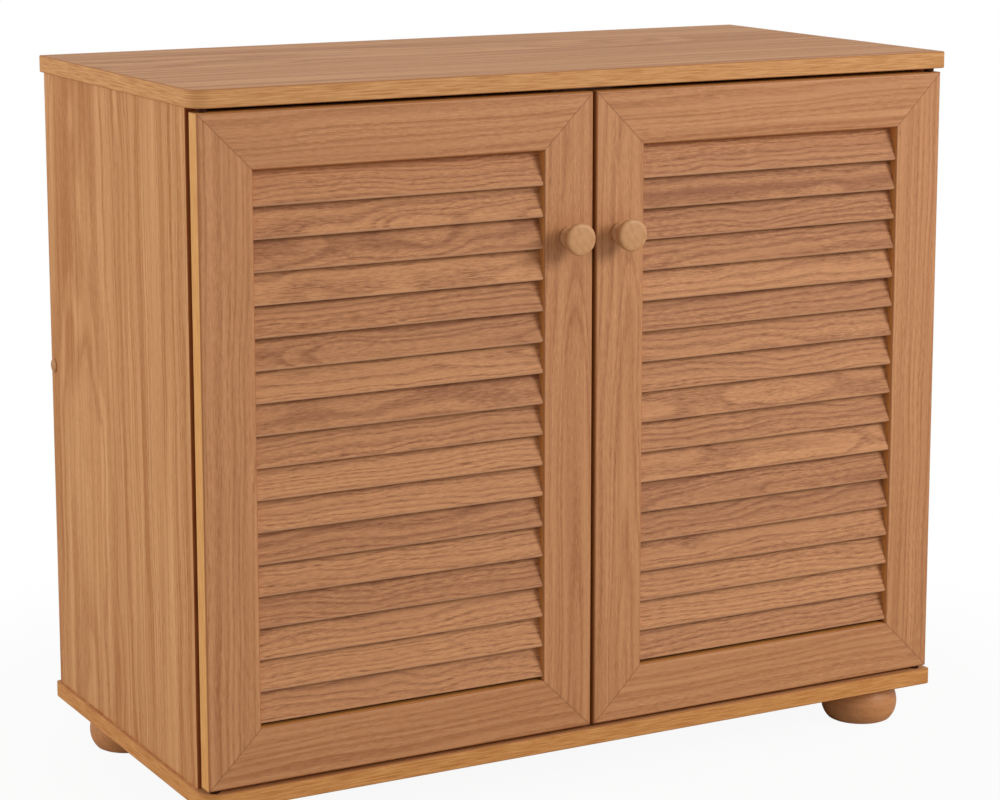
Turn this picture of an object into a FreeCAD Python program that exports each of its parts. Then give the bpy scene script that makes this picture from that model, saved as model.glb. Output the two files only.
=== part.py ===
import FreeCAD, Part
import math
import os

import Sketcher
from FreeCAD import Placement, Rotation, Vector

# Louvred door cabinet, in millimetres.
# A board case stands on four turned feet and is closed by two mitred frame doors with fixed tilted slats.
# Row frame: +X along the width, +Y into the depth (the doors face -Y), +Z up, z = 0 on the floor.
# The origin is the middle of the footprint, knobs included.
# Door frame: x = 0 on the door's outer edge and growing towards the meeting edge, y = 0 on its front face,
# z = 0 on its bottom edge. The right door is the left one mirrored, so its x runs the other way.

X_AXIS = Vector(1, 0, 0)
Z_AXIS = Vector(0, 0, 1)
TOUCH = 0.01     # how near a point must lie to a plane to count as on it
SIDES = {"left": 1, "right": -1}

# ---------------------------------------------------------------- sizes

DRIVING = [
    # case
    ("board", 15.0, "thickness of top, base, sides, shelf and rail"),
    ("case_width", 724.0, "width over the two side panels"),
    ("case_height", 562.0, "height of the side panels, between base and top"),
    ("side_depth", 329.0, "front to back size of a side panel"),
    ("cap_side_overhang", 3.0, "top and base beyond the side panels"),
    ("cap_front_overhang", 1.0, "top and base in front of the doors"),
    ("cap_back_overhang", 4.5, "top and base behind the side panels"),
    ("cap_left_radius", 15.0, "left front corner of top and base, in plan"),
    ("cap_right_radius", 3.0, "right front corner of top and base, in plan"),
    ("cap_back_radius", 2.5, "back corners of top and base, in plan"),
    ("cap_easing", 1.2, "edges of top and base, in section"),
    ("side_easing", 1.0, "front edges of a side panel"),
    ("back_board", 3.0, "thickness of the back panel"),
    ("back_inset", 1.0, "back panel's edge inside the side panel's outer face"),
    ("back_play", 0.3, "back panel to top and base"),
    # doors
    ("door_thickness", 15.5, "frame members of a door"),
    ("frame_width", 47.5, "stiles and rails, seen from the front"),
    ("door_side_inset", 1.0, "door's outer edge inside the side panel's outer face"),
    ("meeting_gap", 3.0, "between the two doors"),
    ("door_gap_bottom", 3.0, "door to base panel"),
    ("door_gap_top", 3.5, "door to top panel"),
    ("door_case_gap", 6.0, "door's back to the side panel's front edge"),
    ("frame_easing", 2.0, "front edges of the frame members"),
    ("tongue_thickness", 5.0, "tongue in each mitre"),
    ("tongue_length", 7.0, "tongue, square to the mitre"),
    ("tongue_start", 18.5, "tongue's outer end from the door's edge"),
    ("tongue_finish", 7.5, "tongue's inner end from the frame's inner edge"),
    ("tongue_play", 0.1, "tongue in its slot, on each side"),
    # slats
    ("slat_count", 17, "slats in a door"),
    ("slat_thickness", 4.0, "slat, which has full round edges"),
    ("slat_front_recess", 1.6, "slat behind the door's front face"),
    ("slat_back_recess", 1.0, "slat in front of the door's back face"),
    ("slat_overlap", 2.2, "height that a slat covers of the one below"),
    ("slat_gap_bottom", 3.0, "lowest slat to the bottom rail"),
    ("slat_gap_top", 0.9, "highest slat to the top rail"),
    ("housing_depth", 6.0, "angled slat housing in a stile"),
    ("housing_play", 0.1, "slat in its housing, all round"),
    ("slat_end_play", 0.3, "slat's end to the floor of its housing"),
    # knobs
    ("knob_drop", 121.5, "knob's axis below the door's top edge"),
    ("knob_radius", 14.0, "knob's head"),
    ("knob_face_radius", 12.2, "nearly flat face of the head"),
    ("knob_base_radius", 9.0, "foot of the knob on the stile"),
    ("knob_neck_radius", 6.6, "waist"),
    ("knob_under_radius", 11.6, "underside of the head"),
    ("knob_base_height", 2.2, "foot of the knob"),
    ("knob_neck_height", 7.0, "waist above the stile"),
    ("knob_under_height", 14.0, "underside of the head"),
    ("knob_widest_height", 20.0, "widest place of the head"),
    ("knob_projection", 23.5, "face of the knob from the stile"),
    ("knob_crown", 0.7, "crown of the face"),
    ("tenon_radius", 4.0, "knob's tenon"),
    ("tenon_length", 12.0, "knob's tenon"),
    ("tenon_play", 0.05, "tenon in its hole"),
    # pivots
    ("pin_radius", 3.0, "pivot pin"),
    ("pin_collar_radius", 4.5, "collar that carries the door"),
    ("pin_panel_cover", 3.5, "board left beyond a pin's hole"),
    ("pin_door_length", 22.0, "pin in the door"),
    ("pin_play", 0.05, "pin in its hole, a running fit"),
    ("pin_end_play", 0.5, "pin's end to the floor of its hole"),
    ("pivot_inset", 8.0, "pivot axis from the door's outer edge"),
    # inside
    ("shelf_height", 275.0, "shelf's underside above the base"),
    ("shelf_setback", 12.0, "shelf behind the side panel's front edge"),
    ("rail_height", 60.0, "rear rail"),
    ("rail_centre", 298.0, "rear rail's middle above the base"),
    # feet
    ("foot_height", 36.0, "bun foot"),
    ("foot_radius", 35.3, "widest place"),
    ("foot_widest_drop", 20.5, "widest place below the base"),
    ("foot_top_radius", 27.0, "against the base"),
    ("foot_sole_radius", 29.5, "flat sole"),
    ("foot_side_inset", 48.0, "foot's axis from the base's side edge"),
    ("foot_front_inset", 45.0, "foot's axis from the base's front edge"),
    ("foot_back_inset", 58.0, "foot's axis from the base's back edge"),
    # screws, dowels and caps
    ("screw_radius", 2.0, "wood screw's shank"),
    ("screw_head_radius", 4.0, "countersunk head"),
    ("screw_head_angle", 90.0, "countersunk head, in degrees"),
    ("screw_length", 35.0, "wood screw"),
    ("screw_point", 4.0, "length of the point"),
    ("screw_play", 0.05, "screw in its hole"),
    ("screw_end_play", 0.5, "screw's point to the floor of its hole"),
    ("drive_radius", 1.7, "drive recess in the head"),
    ("drive_depth", 1.6, "drive recess in the head"),
    ("side_screw_inset", 45.0, "base screws from the side panel's ends"),
    ("dowel_radius", 4.0, "dowel"),
    ("dowel_length", 30.0, "dowel"),
    ("dowel_cover", 4.6, "board left beyond a dowel's hole in its face"),
    ("dowel_chamfer", 0.8, "dowel's ends"),
    ("dowel_play", 0.05, "dowel in its hole"),
    ("dowel_end_play", 0.4, "dowel's end to the floor of its hole"),
    ("dowel_inset", 40.0, "outer dowels from a board's ends"),
    ("cap_radius", 6.4, "domed screw cap"),
    ("cap_edge", 0.8, "cap's rim"),
    ("cap_dome", 2.9, "cap's crown above the panel"),
    ("cap_peg_radius", 1.5, "cap's peg in the screw's recess"),
    ("cap_peg_length", 1.4, "cap's peg"),
    # catch
    ("catch_width", 42.0, "magnetic catch, without its ears"),
    ("catch_depth", 14.0, "magnetic catch"),
    ("catch_height", 16.0, "magnetic catch"),
    ("catch_ear", 9.0, "screw ear on each end of the catch"),
    ("catch_ear_thickness", 3.0, "screw ear"),
    ("catch_hole_radius", 1.75, "screw hole in an ear"),
    ("catch_gap", 0.3, "magnet to strike plate"),
    ("magnet_width", 13.0, "magnet"),
    ("magnet_height", 8.0, "magnet"),
    ("magnet_depth", 6.0, "magnet"),
    ("magnet_play", 0.1, "magnet in its pocket"),
    ("plate_width", 16.0, "strike plate"),
    ("plate_height", 12.0, "strike plate"),
    ("plate_thickness", 1.2, "strike plate"),
    ("plate_side_inset", 3.0, "strike plate from the door's meeting edge"),
    ("plate_top_inset", 1.0, "strike plate from the door's top edge"),
    ("plate_hole_radius", 1.75, "screw hole in the strike plate"),
]

DERIVED = [
    # door
    ("door_width", "(case_width - 2 * door_side_inset - meeting_gap) / 2"),
    ("door_height", "case_height - door_gap_bottom - door_gap_top"),
    ("door_middle", "door_width / 2"),
    ("door_mid_depth", "door_thickness / 2"),
    ("opening_width", "door_width - 2 * frame_width"),
    ("opening_height", "door_height - 2 * frame_width"),
    ("stile_middle", "frame_width / 2"),
    ("door_edge_x", "case_width / 2 - door_side_inset"),
    ("pivot_x", "door_edge_x - pivot_inset"),
    # places along the depth, from the door's front face
    ("side_front", "door_thickness + door_case_gap"),
    ("side_back", "side_front + side_depth"),
    ("cap_depth", "cap_front_overhang + side_back + cap_back_overhang"),
    ("door_front", "-(side_back + cap_back_overhang - knob_projection) / 2"),
    # heights
    ("base_top", "foot_height + board"),
    ("top_underside", "base_top + case_height"),
    ("door_bottom", "base_top + door_gap_bottom"),
    # case
    ("cap_half", "case_width / 2 + cap_side_overhang"),
    ("case_half", "case_width / 2"),
    ("inner_width", "case_width - 2 * board"),
    ("side_screw_x", "case_half - board / 2"),
    ("side_middle", "side_depth / 2"),
    ("board_middle", "board / 2"),
    ("back_width", "case_width - 2 * back_inset"),
    ("back_height", "case_height - 2 * back_play"),
    ("shelf_depth", "side_depth - shelf_setback - board"),
    ("rail_half", "rail_height / 2"),
    ("back_half", "back_width / 2"),
    # mitre tongue, as steps along x and z
    ("tongue_reach", "tongue_length / sqrt(2)"),
    ("tongue_slot_reach", "(tongue_length + tongue_play) / sqrt(2)"),
    ("tongue_root", "tongue_reach / 2"),
    ("tongue_inner", "frame_width - tongue_finish"),
    ("tongue_slot_thickness", "tongue_thickness + 2 * tongue_play"),
    # slats: the middle of each round edge
    ("slat_radius", "slat_thickness / 2"),
    ("slat_pitch", "(opening_height - slat_gap_bottom - slat_gap_top - slat_overlap) / slat_count"),
    ("slat_edge_front", "slat_front_recess + slat_radius"),
    ("slat_edge_back", "door_thickness - slat_back_recess - slat_radius"),
    ("slat_edge_rise", "slat_pitch + slat_overlap - slat_thickness"),
    ("slat_length", "opening_width + 2 * (housing_depth - slat_end_play)"),
    ("slat_first", "frame_width + slat_gap_bottom + slat_radius"),
    ("housing_radius", "slat_radius + housing_play"),
    ("housing_run", "slat_pitch * (slat_count - 1)"),
    # turned pieces: arcs that stand upright at the widest place
    ("foot_upper_step", "foot_radius - foot_top_radius"),
    ("foot_upper_arc", "(foot_upper_step^2 + foot_widest_drop^2) / (2 * foot_upper_step)"),
    ("foot_lower_step", "foot_radius - foot_sole_radius"),
    ("foot_lower_rise", "foot_height - foot_widest_drop"),
    ("foot_lower_arc", "(foot_lower_step^2 + foot_lower_rise^2) / (2 * foot_lower_step)"),
    ("cap_rise", "cap_dome - cap_edge"),
    ("cap_arc", "(cap_radius^2 + cap_rise^2) / (2 * cap_rise)"),
    ("knob_face_height", "knob_projection - knob_crown"),
    ("knob_crown_arc", "(knob_face_radius^2 + knob_crown^2) / (2 * knob_crown)"),
    ("knob_rim_step", "knob_radius - knob_face_radius"),
    ("knob_rim_rise", "knob_face_height - knob_widest_height"),
    ("knob_rim_arc", "(knob_rim_step^2 + knob_rim_rise^2) / (2 * knob_rim_step)"),
    ("knob_under_step", "knob_radius - knob_under_radius"),
    ("knob_under_rise", "knob_widest_height - knob_under_height"),
    ("knob_under_arc", "(knob_under_step^2 + knob_under_rise^2) / (2 * knob_under_step)"),
    # fits
    ("tenon_hole_radius", "tenon_radius + tenon_play"),
    ("pin_hole_radius", "pin_radius + pin_play"),
    ("pin_door_depth", "pin_door_length + pin_end_play"),
    ("pin_panel_depth", "board - pin_panel_cover"),
    ("pin_panel_length", "pin_panel_depth - pin_end_play"),
    ("screw_hole_radius", "screw_radius + screw_play"),
    ("screw_head_height", "(screw_head_radius - screw_radius) / tan(screw_head_angle / 2)"),
    ("screw_sink_diameter", "2 * (screw_head_radius + screw_play)"),
    ("screw_pilot_depth", "screw_length - board + screw_end_play"),
    ("dowel_hole_radius", "dowel_radius + dowel_play"),
    ("dowel_face_depth", "board - dowel_cover"),
    ("dowel_shallow", "dowel_face_depth - dowel_end_play"),
    ("dowel_end_depth", "dowel_length - dowel_shallow + dowel_end_play"),
    # catch
    ("catch_x", "meeting_gap / 2 + plate_side_inset + plate_width / 2"),
    ("catch_front", "door_thickness + plate_thickness + catch_gap"),
    ("catch_ear_x", "catch_width / 2 + catch_ear / 2"),
    ("catch_half", "catch_width / 2"),
    ("catch_ear_half", "catch_width / 2 + catch_ear"),
    ("catch_mid_depth", "catch_depth / 2"),
    ("plate_half", "plate_width / 2"),
    ("plate_half_height", "plate_height / 2"),
    ("plate_middle", "door_gap_top + plate_top_inset + plate_height / 2"),
    ("magnet_half", "magnet_width / 2"),
    ("magnet_half_height", "magnet_height / 2"),
    ("magnet_pocket_depth", "magnet_depth + magnet_play"),
]

doc = FreeCAD.newDocument("louvred_cabinet")
sheet = doc.addObject("Spreadsheet::Sheet", "Sizes")
row = 0
for alias, number_now, note in DRIVING:
    row += 1
    sheet.set(f"A{row}", alias)
    sheet.set(f"B{row}", str(number_now))
    sheet.set(f"C{row}", note)
    sheet.setAlias(f"B{row}", alias)
for alias, formula in DERIVED:
    row += 1
    sheet.set(f"A{row}", alias)
    sheet.set(f"B{row}", "=" + formula)
    sheet.setAlias(f"B{row}", alias)
doc.recompute()


def words(formula):
    """Splits a sum of named sizes, such as "frame_width - housing_depth", into signs and names."""
    return formula.replace("-", " - ").replace("+", " + ").split()


def value(formula):
    """What a sum of named sizes comes to now."""
    total = 0.0
    sign = 1
    for word in words(formula):
        if word in "+-":
            sign = 1 if word == "+" else -1
        elif word == "0":
            sign = 1
        else:
            total += sign * float(sheet.get(word))
            sign = 1
    return total


def bound(formula, flip=1):
    """The same sum as an expression that names the sheet's cells, negated where flip is -1."""
    text = " ".join(w if w in "+-0" else "Sizes." + w for w in words(formula))
    return f"-({text})" if flip < 0 else text


def negated(formula):
    """The same sum with every sign turned round, ready to follow another sum."""
    swap = {"+": "-", "-": "+"}
    parts = words(formula)
    if parts[0] not in swap:
        parts.insert(0, "+")
    return " " + " ".join(swap.get(w, w) for w in parts)


# ---------------------------------------------------------------- sketches

def new_body(label):
    body = doc.addObject("PartDesign::Body", label)
    body.Label = label
    return body


def origin_feature(body, role):
    return next(f for f in body.Origin.OriginFeatures if f.Role == role)


def new_sketch(body, plane, offset="0", flip=1):
    """A sketch on one of the body's origin planes, moved along its normal by a sum of named sizes."""
    sketch = body.newObject("Sketcher::SketchObject", body.Name + "_sketch")
    sketch.AttachmentSupport = [(origin_feature(body, plane), "")]
    sketch.MapMode = "FlatFace"
    if offset != "0":
        sketch.AttachmentOffset = Placement(Vector(0, 0, flip * value(offset)), Rotation())
        sketch.setExpression("AttachmentOffset.Base.z", bound(offset, flip))
    return sketch


def fix_point(sketch, geometry, vertex, x, y, flip):
    """Ties one vertex to the sketch's origin by two named sums, x mirrored where flip is -1."""
    for kind, formula, sign in (("DistanceX", x, flip), ("DistanceY", y, 1)):
        place = sign * value(formula)
        index = sketch.addConstraint(Sketcher.Constraint(kind, -1, 1, geometry, vertex, place))
        sketch.setExpression(f"Constraints[{index}]", bound(formula, sign))


def fix_radius(sketch, geometry, radius):
    index = sketch.addConstraint(Sketcher.Constraint("Radius", geometry, value(radius)))
    sketch.setExpression(f"Constraints[{index}]", bound(radius))


def outline(sketch, corners, flip=1):
    """A closed outline. A corner is (x, y), or (x, y, radius) where the edge that leaves it is an arc of that
    radius, with its centre to the left of the way along the edge."""
    count = len(corners)
    spots = [Vector(flip * value(c[0]), value(c[1]), 0) for c in corners]
    ends = []
    for i, corner in enumerate(corners):
        here = spots[i]
        there = spots[(i + 1) % count]
        if len(corner) == 2:
            index = sketch.addGeometry(Part.LineSegment(here, there), False)
            ends.append((index, 1, 2))
        else:
            radius = value(corner[2])
            along = there - here
            across = Vector(-along.y, along.x, 0) / along.Length * flip
            drop = math.sqrt(max(radius ** 2 - (along.Length / 2) ** 2, 0.0))
            bulge = (here + there) * 0.5 - across * (radius - drop)
            index = sketch.addGeometry(Part.Arc(here, bulge, there), False)
            ends.append((index, 1, 2) if flip > 0 else (index, 2, 1))
    for i, (index, first, last) in enumerate(ends):
        following, entry, _ = ends[(i + 1) % count]
        sketch.addConstraint(Sketcher.Constraint("Coincident", index, last, following, entry))
    for corner, (index, first, last) in zip(corners, ends):
        fix_point(sketch, index, first, corner[0], corner[1], flip)
        if len(corner) > 2:
            fix_radius(sketch, index, corner[2])


def rectangle(sketch, left, right, low, high, flip=1):
    outline(sketch, [(left, low), (right, low), (right, high), (left, high)], flip)


def circles(sketch, radius, centres, flip=1):
    for x, y in centres:
        centre = Vector(flip * value(x), value(y), 0)
        index = sketch.addGeometry(Part.Circle(centre, Z_AXIS, value(radius)), False)
        fix_point(sketch, index, 3, x, y, flip)
        fix_radius(sketch, index, radius)


def round_ended_slot(sketch, radius, low_end, high_end):
    """A slot with full round ends, from the middle of one end to the middle of the other."""
    low = Vector(value(low_end[0]), value(low_end[1]), 0)
    high = Vector(value(high_end[0]), value(high_end[1]), 0)
    along = (high - low) / (high - low).Length * value(radius)
    side = Vector(-along.y, along.x, 0)
    low_arc = sketch.addGeometry(Part.Arc(low + side, low - along, low - side), False)
    high_arc = sketch.addGeometry(Part.Arc(high - side, high + along, high + side), False)
    right_edge = sketch.addGeometry(Part.LineSegment(low - side, high - side), False)
    left_edge = sketch.addGeometry(Part.LineSegment(high + side, low + side), False)
    for arc, arc_end, edge, edge_end in ((low_arc, 2, right_edge, 1), (high_arc, 1, right_edge, 2),
                                         (high_arc, 2, left_edge, 1), (low_arc, 1, left_edge, 2)):
        sketch.addConstraint(Sketcher.Constraint("Tangent", arc, arc_end, edge, edge_end))
    sketch.addConstraint(Sketcher.Constraint("Equal", low_arc, high_arc))
    fix_radius(sketch, low_arc, radius)
    fix_point(sketch, low_arc, 3, low_end[0], low_end[1], 1)
    fix_point(sketch, high_arc, 3, high_end[0], high_end[1], 1)


# ---------------------------------------------------------------- features

def volume_before(body):
    return body.Shape.Volume if body.Tip else 0.0


def confirm(body, feature, before, grows):
    """A feature that points the wrong way changes nothing and shows no error, so its volume is compared."""
    doc.recompute()
    change = body.Shape.Volume - before
    if (change > TOUCH) != grows or abs(change) < TOUCH:
        raise RuntimeError(f"{feature.Name} of {body.Label} changes the volume by {change:.3f}")


def pad(body, sketch, length, backwards=False, both_ways=False):
    before = volume_before(body)
    feature = body.newObject("PartDesign::Pad", body.Name + "_pad")
    feature.Profile = sketch
    feature.Length = value(length)
    feature.setExpression("Length", bound(length))
    feature.Reversed = backwards
    feature.Midplane = both_ways
    confirm(body, feature, before, True)
    return feature


def pocket(body, sketch, depth, forwards=False, both_ways=False):
    """Cuts against the sketch's normal, or along it where forwards is set."""
    before = volume_before(body)
    feature = body.newObject("PartDesign::Pocket", body.Name + "_pocket")
    feature.Profile = sketch
    feature.Length = value(depth)
    feature.setExpression("Length", bound(depth))
    feature.Reversed = forwards
    feature.Midplane = both_ways
    confirm(body, feature, before, False)
    return feature


def countersunk_holes(body, sketch, forwards=False):
    """Screw holes right through a board, with the cone of the screw's head."""
    doc.recompute()
    before = volume_before(body)
    feature = body.newObject("PartDesign::Hole", body.Name + "_holes")
    feature.Profile = sketch
    feature.Threaded = False
    feature.DepthType = "ThroughAll"
    feature.Reversed = forwards
    feature.Diameter = 2 * value("screw_hole_radius")
    feature.setExpression("Diameter", "2 * Sizes.screw_hole_radius")
    feature.HoleCutType = "Countersink"
    feature.HoleCutCustomValues = True
    feature.HoleCutDiameter = value("screw_sink_diameter")
    feature.setExpression("HoleCutDiameter", bound("screw_sink_diameter"))
    feature.HoleCutCountersinkAngle = value("screw_head_angle")
    feature.setExpression("HoleCutCountersinkAngle", bound("screw_head_angle"))
    confirm(body, feature, before, False)
    return feature


def turned(body, corners, plane="XZ_Plane"):
    """A turned piece: its half outline, with the radius first, swept round the sketch's upright axis."""
    sketch = new_sketch(body, plane)
    outline(sketch, corners)
    before = volume_before(body)
    feature = body.newObject("PartDesign::Revolution", body.Name + "_turning")
    feature.Profile = sketch
    feature.ReferenceAxis = (sketch, ["V_Axis"])
    feature.Angle = 360
    confirm(body, feature, before, True)
    return feature


def repeat_upwards(body, feature, run, count):
    before = volume_before(body)
    pattern = body.newObject("PartDesign::LinearPattern", body.Name + "_row")
    pattern.Originals = [feature]
    pattern.Direction = (origin_feature(body, "Z_Axis"), [""])
    pattern.Length = value(run)
    pattern.setExpression("Length", bound(run))
    pattern.Occurrences = int(value(count))
    pattern.setExpression("Occurrences", bound(count))
    body.Tip = pattern
    confirm(body, pattern, before, False)


def mirror_across(body, feature):
    """Repeats a cut on the other side of the body's YZ plane."""
    before = volume_before(body)
    mirror = body.newObject("PartDesign::Mirrored", body.Name + "_mirror")
    mirror.Originals = [feature]
    mirror.MirrorPlane = (origin_feature(body, "YZ_Plane"), [""])
    body.Tip = mirror
    confirm(body, mirror, before, False)


def edges_where(body, test):
    """Names of the edges whose every vertex passes the test, and whose middle does too."""
    names = []
    for i, edge in enumerate(body.Shape.Edges, start=1):
        middle = edge.valueAt((edge.FirstParameter + edge.LastParameter) / 2)
        if all(test(p) for p in [v.Point for v in edge.Vertexes] + [middle]):
            names.append(f"Edge{i}")
    return names


def ease(body, radius, test):
    names = edges_where(body, test)
    shape_so_far = body.Tip
    feature = body.newObject("PartDesign::Fillet", body.Name + "_easing")
    feature.Base = (shape_so_far, names)
    feature.Radius = value(radius)
    feature.setExpression("Radius", bound(radius))
    doc.recompute()
    if not names or not feature.Shape.isValid():
        raise RuntimeError(f"easing of {body.Label} found {len(names)} edges")
    return feature


def near(first, second):
    return abs(first - second) < TOUCH


def place(thing, x="0", y="0", z="0", flip=1, turn=None):
    """Puts a piece in the row frame, with y counted from the doors' front face."""
    rotation = turn if turn is not None else Rotation()
    thing.Placement = Placement(Vector(flip * value(x), value("door_front + " + y), value(z)), rotation)
    thing.setExpression("Placement.Base.x", bound(x, flip))
    thing.setExpression("Placement.Base.y", bound("door_front + " + y))
    thing.setExpression("Placement.Base.z", bound(z))


def turn_from_up(direction):
    return Rotation(Z_AXIS, direction)


def group(label, master, places):
    """One node of like pieces: links to a master body, each at its own place."""
    links = []
    for i, (x, y, z, flip, turn) in enumerate(places, start=1):
        link = doc.addObject("App::Link", f"{label}_{i}")
        link.LinkedObject = master
        link.LinkTransform = False
        place(link, x, y, z, flip, turn)
        links.append(link)
    whole = doc.addObject("Part::Compound", label)
    whole.Label = label
    whole.Links = links
    return whole


# ---------------------------------------------------------------- case

PARTS = []


def keep(piece):
    PARTS.append(piece)
    return piece


SIDE_DOWELS = ("dowel_inset", "side_middle", "side_depth - dowel_inset")
SIDE_SCREWS = ("side_screw_inset", "side_depth - side_screw_inset")
# the shelf's dowels, from its own front edge
SHELF_DOWELS = ("dowel_inset", "shelf_depth - dowel_inset")
FOOT_ROWS = ("foot_front_inset", "cap_depth - foot_back_inset")
# from a cap panel's front edge to a side panel's front edge
FROM_CAP_TO_SIDE = "cap_front_overhang + side_front"


def both_sides(x, rows):
    """The same rows of places to the left and to the right of the middle."""
    return [(place_x, y) for place_x in (negated(x), x) for y in rows]


def cap_panel(label, height):
    """A board with rounded corners in plan and eased edges: front edge on y = 0, underside on z = 0."""
    body = new_body(label)
    sketch = new_sketch(body, "XY_Plane")
    rectangle(sketch, "-cap_half", "cap_half", "0", "cap_depth")
    pad(body, sketch, "board")

    def on_corner(point, y, x_values):
        return near(point.y, value(y)) and any(near(point.x, value(x)) for x in x_values)

    ease(body, "cap_left_radius", lambda p: on_corner(p, "0", ["-cap_half"]))
    ease(body, "cap_right_radius", lambda p: on_corner(p, "0", ["cap_half"]))
    ease(body, "cap_back_radius", lambda p: on_corner(p, "cap_depth", ["-cap_half", "cap_half"]))
    ease(body, "cap_easing", lambda p: near(p.z, 0) or near(p.z, value("board")))
    place(body, y="0 - cap_front_overhang", z=height)
    return body


def top_panel():
    """Dowel holes for the sides and holes for the upper pivot pins, all from below."""
    body = keep(cap_panel("top_panel", "top_underside"))
    dowels = new_sketch(body, "XY_Plane")
    rows = [FROM_CAP_TO_SIDE + " + " + y for y in SIDE_DOWELS]
    circles(dowels, "dowel_hole_radius", both_sides("side_screw_x", rows))
    pocket(body, dowels, "dowel_face_depth", forwards=True)
    pivots = new_sketch(body, "XY_Plane")
    circles(pivots, "pin_hole_radius", both_sides("pivot_x", ["cap_front_overhang + door_mid_depth"]))
    pocket(body, pivots, "pin_panel_depth", forwards=True)


def base_panel():
    """Countersunk from below for the sides and from above for the feet, and bored for the lower pins."""
    body = keep(cap_panel("base_panel", "foot_height"))
    rows = [FROM_CAP_TO_SIDE + " + " + y for y in SIDE_SCREWS]
    below = new_sketch(body, "XY_Plane")
    circles(below, "screw_hole_radius", both_sides("side_screw_x", rows))
    countersunk_holes(body, below, forwards=True)
    above = new_sketch(body, "XY_Plane", "board")
    circles(above, "screw_hole_radius", both_sides("cap_half - foot_side_inset", FOOT_ROWS))
    countersunk_holes(body, above)
    pivots = new_sketch(body, "XY_Plane", "board")
    circles(pivots, "pin_hole_radius", both_sides("pivot_x", ["cap_front_overhang + door_mid_depth"]))
    pocket(body, pivots, "pin_panel_depth")


def side_panel(side):
    """Outer face on x = 0, front edge on y = 0, bottom edge on z = 0."""
    flip = SIDES[side]
    body = keep(new_body(f"side_panel_{side}"))
    sketch = new_sketch(body, "YZ_Plane")
    rectangle(sketch, "0", "side_depth", "0", "case_height")
    pad(body, sketch, "board", backwards=flip < 0)
    ease(body, "side_easing", lambda p: near(p.y, 0) and (near(p.x, 0) or near(abs(p.x), value("board"))))
    top_dowels = new_sketch(body, "XY_Plane", "case_height")
    circles(top_dowels, "dowel_hole_radius", [("board_middle", y) for y in SIDE_DOWELS], flip)
    pocket(body, top_dowels, "dowel_end_depth")
    base_screws = new_sketch(body, "XY_Plane")
    circles(base_screws, "screw_hole_radius", [("board_middle", y) for y in SIDE_SCREWS], flip)
    pocket(body, base_screws, "screw_pilot_depth", forwards=True)
    shelf_dowels = new_sketch(body, "YZ_Plane", "board", flip)
    rows = [("shelf_setback + " + y, "shelf_height + board_middle") for y in SHELF_DOWELS]
    circles(shelf_dowels, "dowel_hole_radius", rows)
    pocket(body, shelf_dowels, "dowel_face_depth", forwards=flip < 0)
    rail_screw = new_sketch(body, "YZ_Plane")
    circles(rail_screw, "screw_hole_radius", [("side_depth - board_middle", "rail_centre")])
    countersunk_holes(body, rail_screw, forwards=flip > 0)
    place(body, "0 - case_half", "side_front", "base_top", flip)


def shelf():
    """Between the sides and against the rear rail: front edge on y = 0, underside on z = 0."""
    body = keep(new_body("shelf"))
    sketch = new_sketch(body, "YZ_Plane")
    rectangle(sketch, "0", "shelf_depth", "0", "board")
    pad(body, sketch, "inner_width", both_ways=True)
    ease(body, "side_easing", lambda p: near(p.y, 0) and (near(p.z, 0) or near(p.z, value("board"))))
    dowels = new_sketch(body, "YZ_Plane", "case_half - board")
    circles(dowels, "dowel_hole_radius", [(y, "board_middle") for y in SHELF_DOWELS])
    mirror_across(body, pocket(body, dowels, "dowel_end_depth"))
    place(body, y="side_front + shelf_setback", z="base_top + shelf_height")


def rear_rail():
    """Stands on edge between the sides, flush with their back edges. Its front face is on y = 0."""
    body = keep(new_body("rear_rail"))
    sketch = new_sketch(body, "YZ_Plane")
    rectangle(sketch, "0", "board", "0", "rail_height")
    pad(body, sketch, "inner_width", both_ways=True)
    screws = new_sketch(body, "YZ_Plane", "case_half - board")
    circles(screws, "screw_hole_radius", [("board_middle", "rail_half")])
    mirror_across(body, pocket(body, screws, "screw_pilot_depth"))
    place(body, y="side_back - board", z="base_top + rail_centre - rail_half")


def back_panel():
    """A thin board nailed on the back edges of the sides and the rail, between base and top."""
    body = keep(new_body("back_panel"))
    sketch = new_sketch(body, "XY_Plane")
    rectangle(sketch, "-back_half", "back_half", "0", "back_board")
    pad(body, sketch, "back_height")
    place(body, y="side_back", z="base_top + back_play")


# ---------------------------------------------------------------- turned pieces and fasteners

def foot_master():
    """A bun foot: a flat top against the base, the widest place near its middle and a flat sole."""
    body = new_body("foot_master")
    turned(body, [
        ("0", "0"),
        ("0", "-foot_height"),
        ("foot_sole_radius", "-foot_height", "foot_lower_arc"),
        ("foot_radius", "-foot_widest_drop", "foot_upper_arc"),
        ("foot_top_radius", "0"),
    ])
    screw = new_sketch(body, "XY_Plane")
    circles(screw, "screw_hole_radius", [("0", "0")])
    pocket(body, screw, "screw_pilot_depth")
    return body


def screw_master():
    """A countersunk wood screw with its head's face on z = 0, pointing down."""
    body = new_body("screw_master")
    turned(body, [
        ("0", "-drive_depth"),
        ("0", "-screw_length"),
        ("screw_radius", "-screw_length + screw_point"),
        ("screw_radius", "-screw_head_height"),
        ("screw_head_radius", "0"),
        ("drive_radius", "0"),
        ("drive_radius", "-drive_depth"),
    ])
    return body


def dowel_master():
    """A chamfered dowel with its shallow end up: z = 0 is where the two boards meet."""
    body = new_body("dowel_master")
    turned(body, [
        ("0", "dowel_shallow"),
        ("0", "dowel_shallow - dowel_length"),
        ("dowel_radius - dowel_chamfer", "dowel_shallow - dowel_length"),
        ("dowel_radius", "dowel_shallow - dowel_length + dowel_chamfer"),
        ("dowel_radius", "dowel_shallow - dowel_chamfer"),
        ("dowel_radius - dowel_chamfer", "dowel_shallow"),
    ])
    return body


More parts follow.
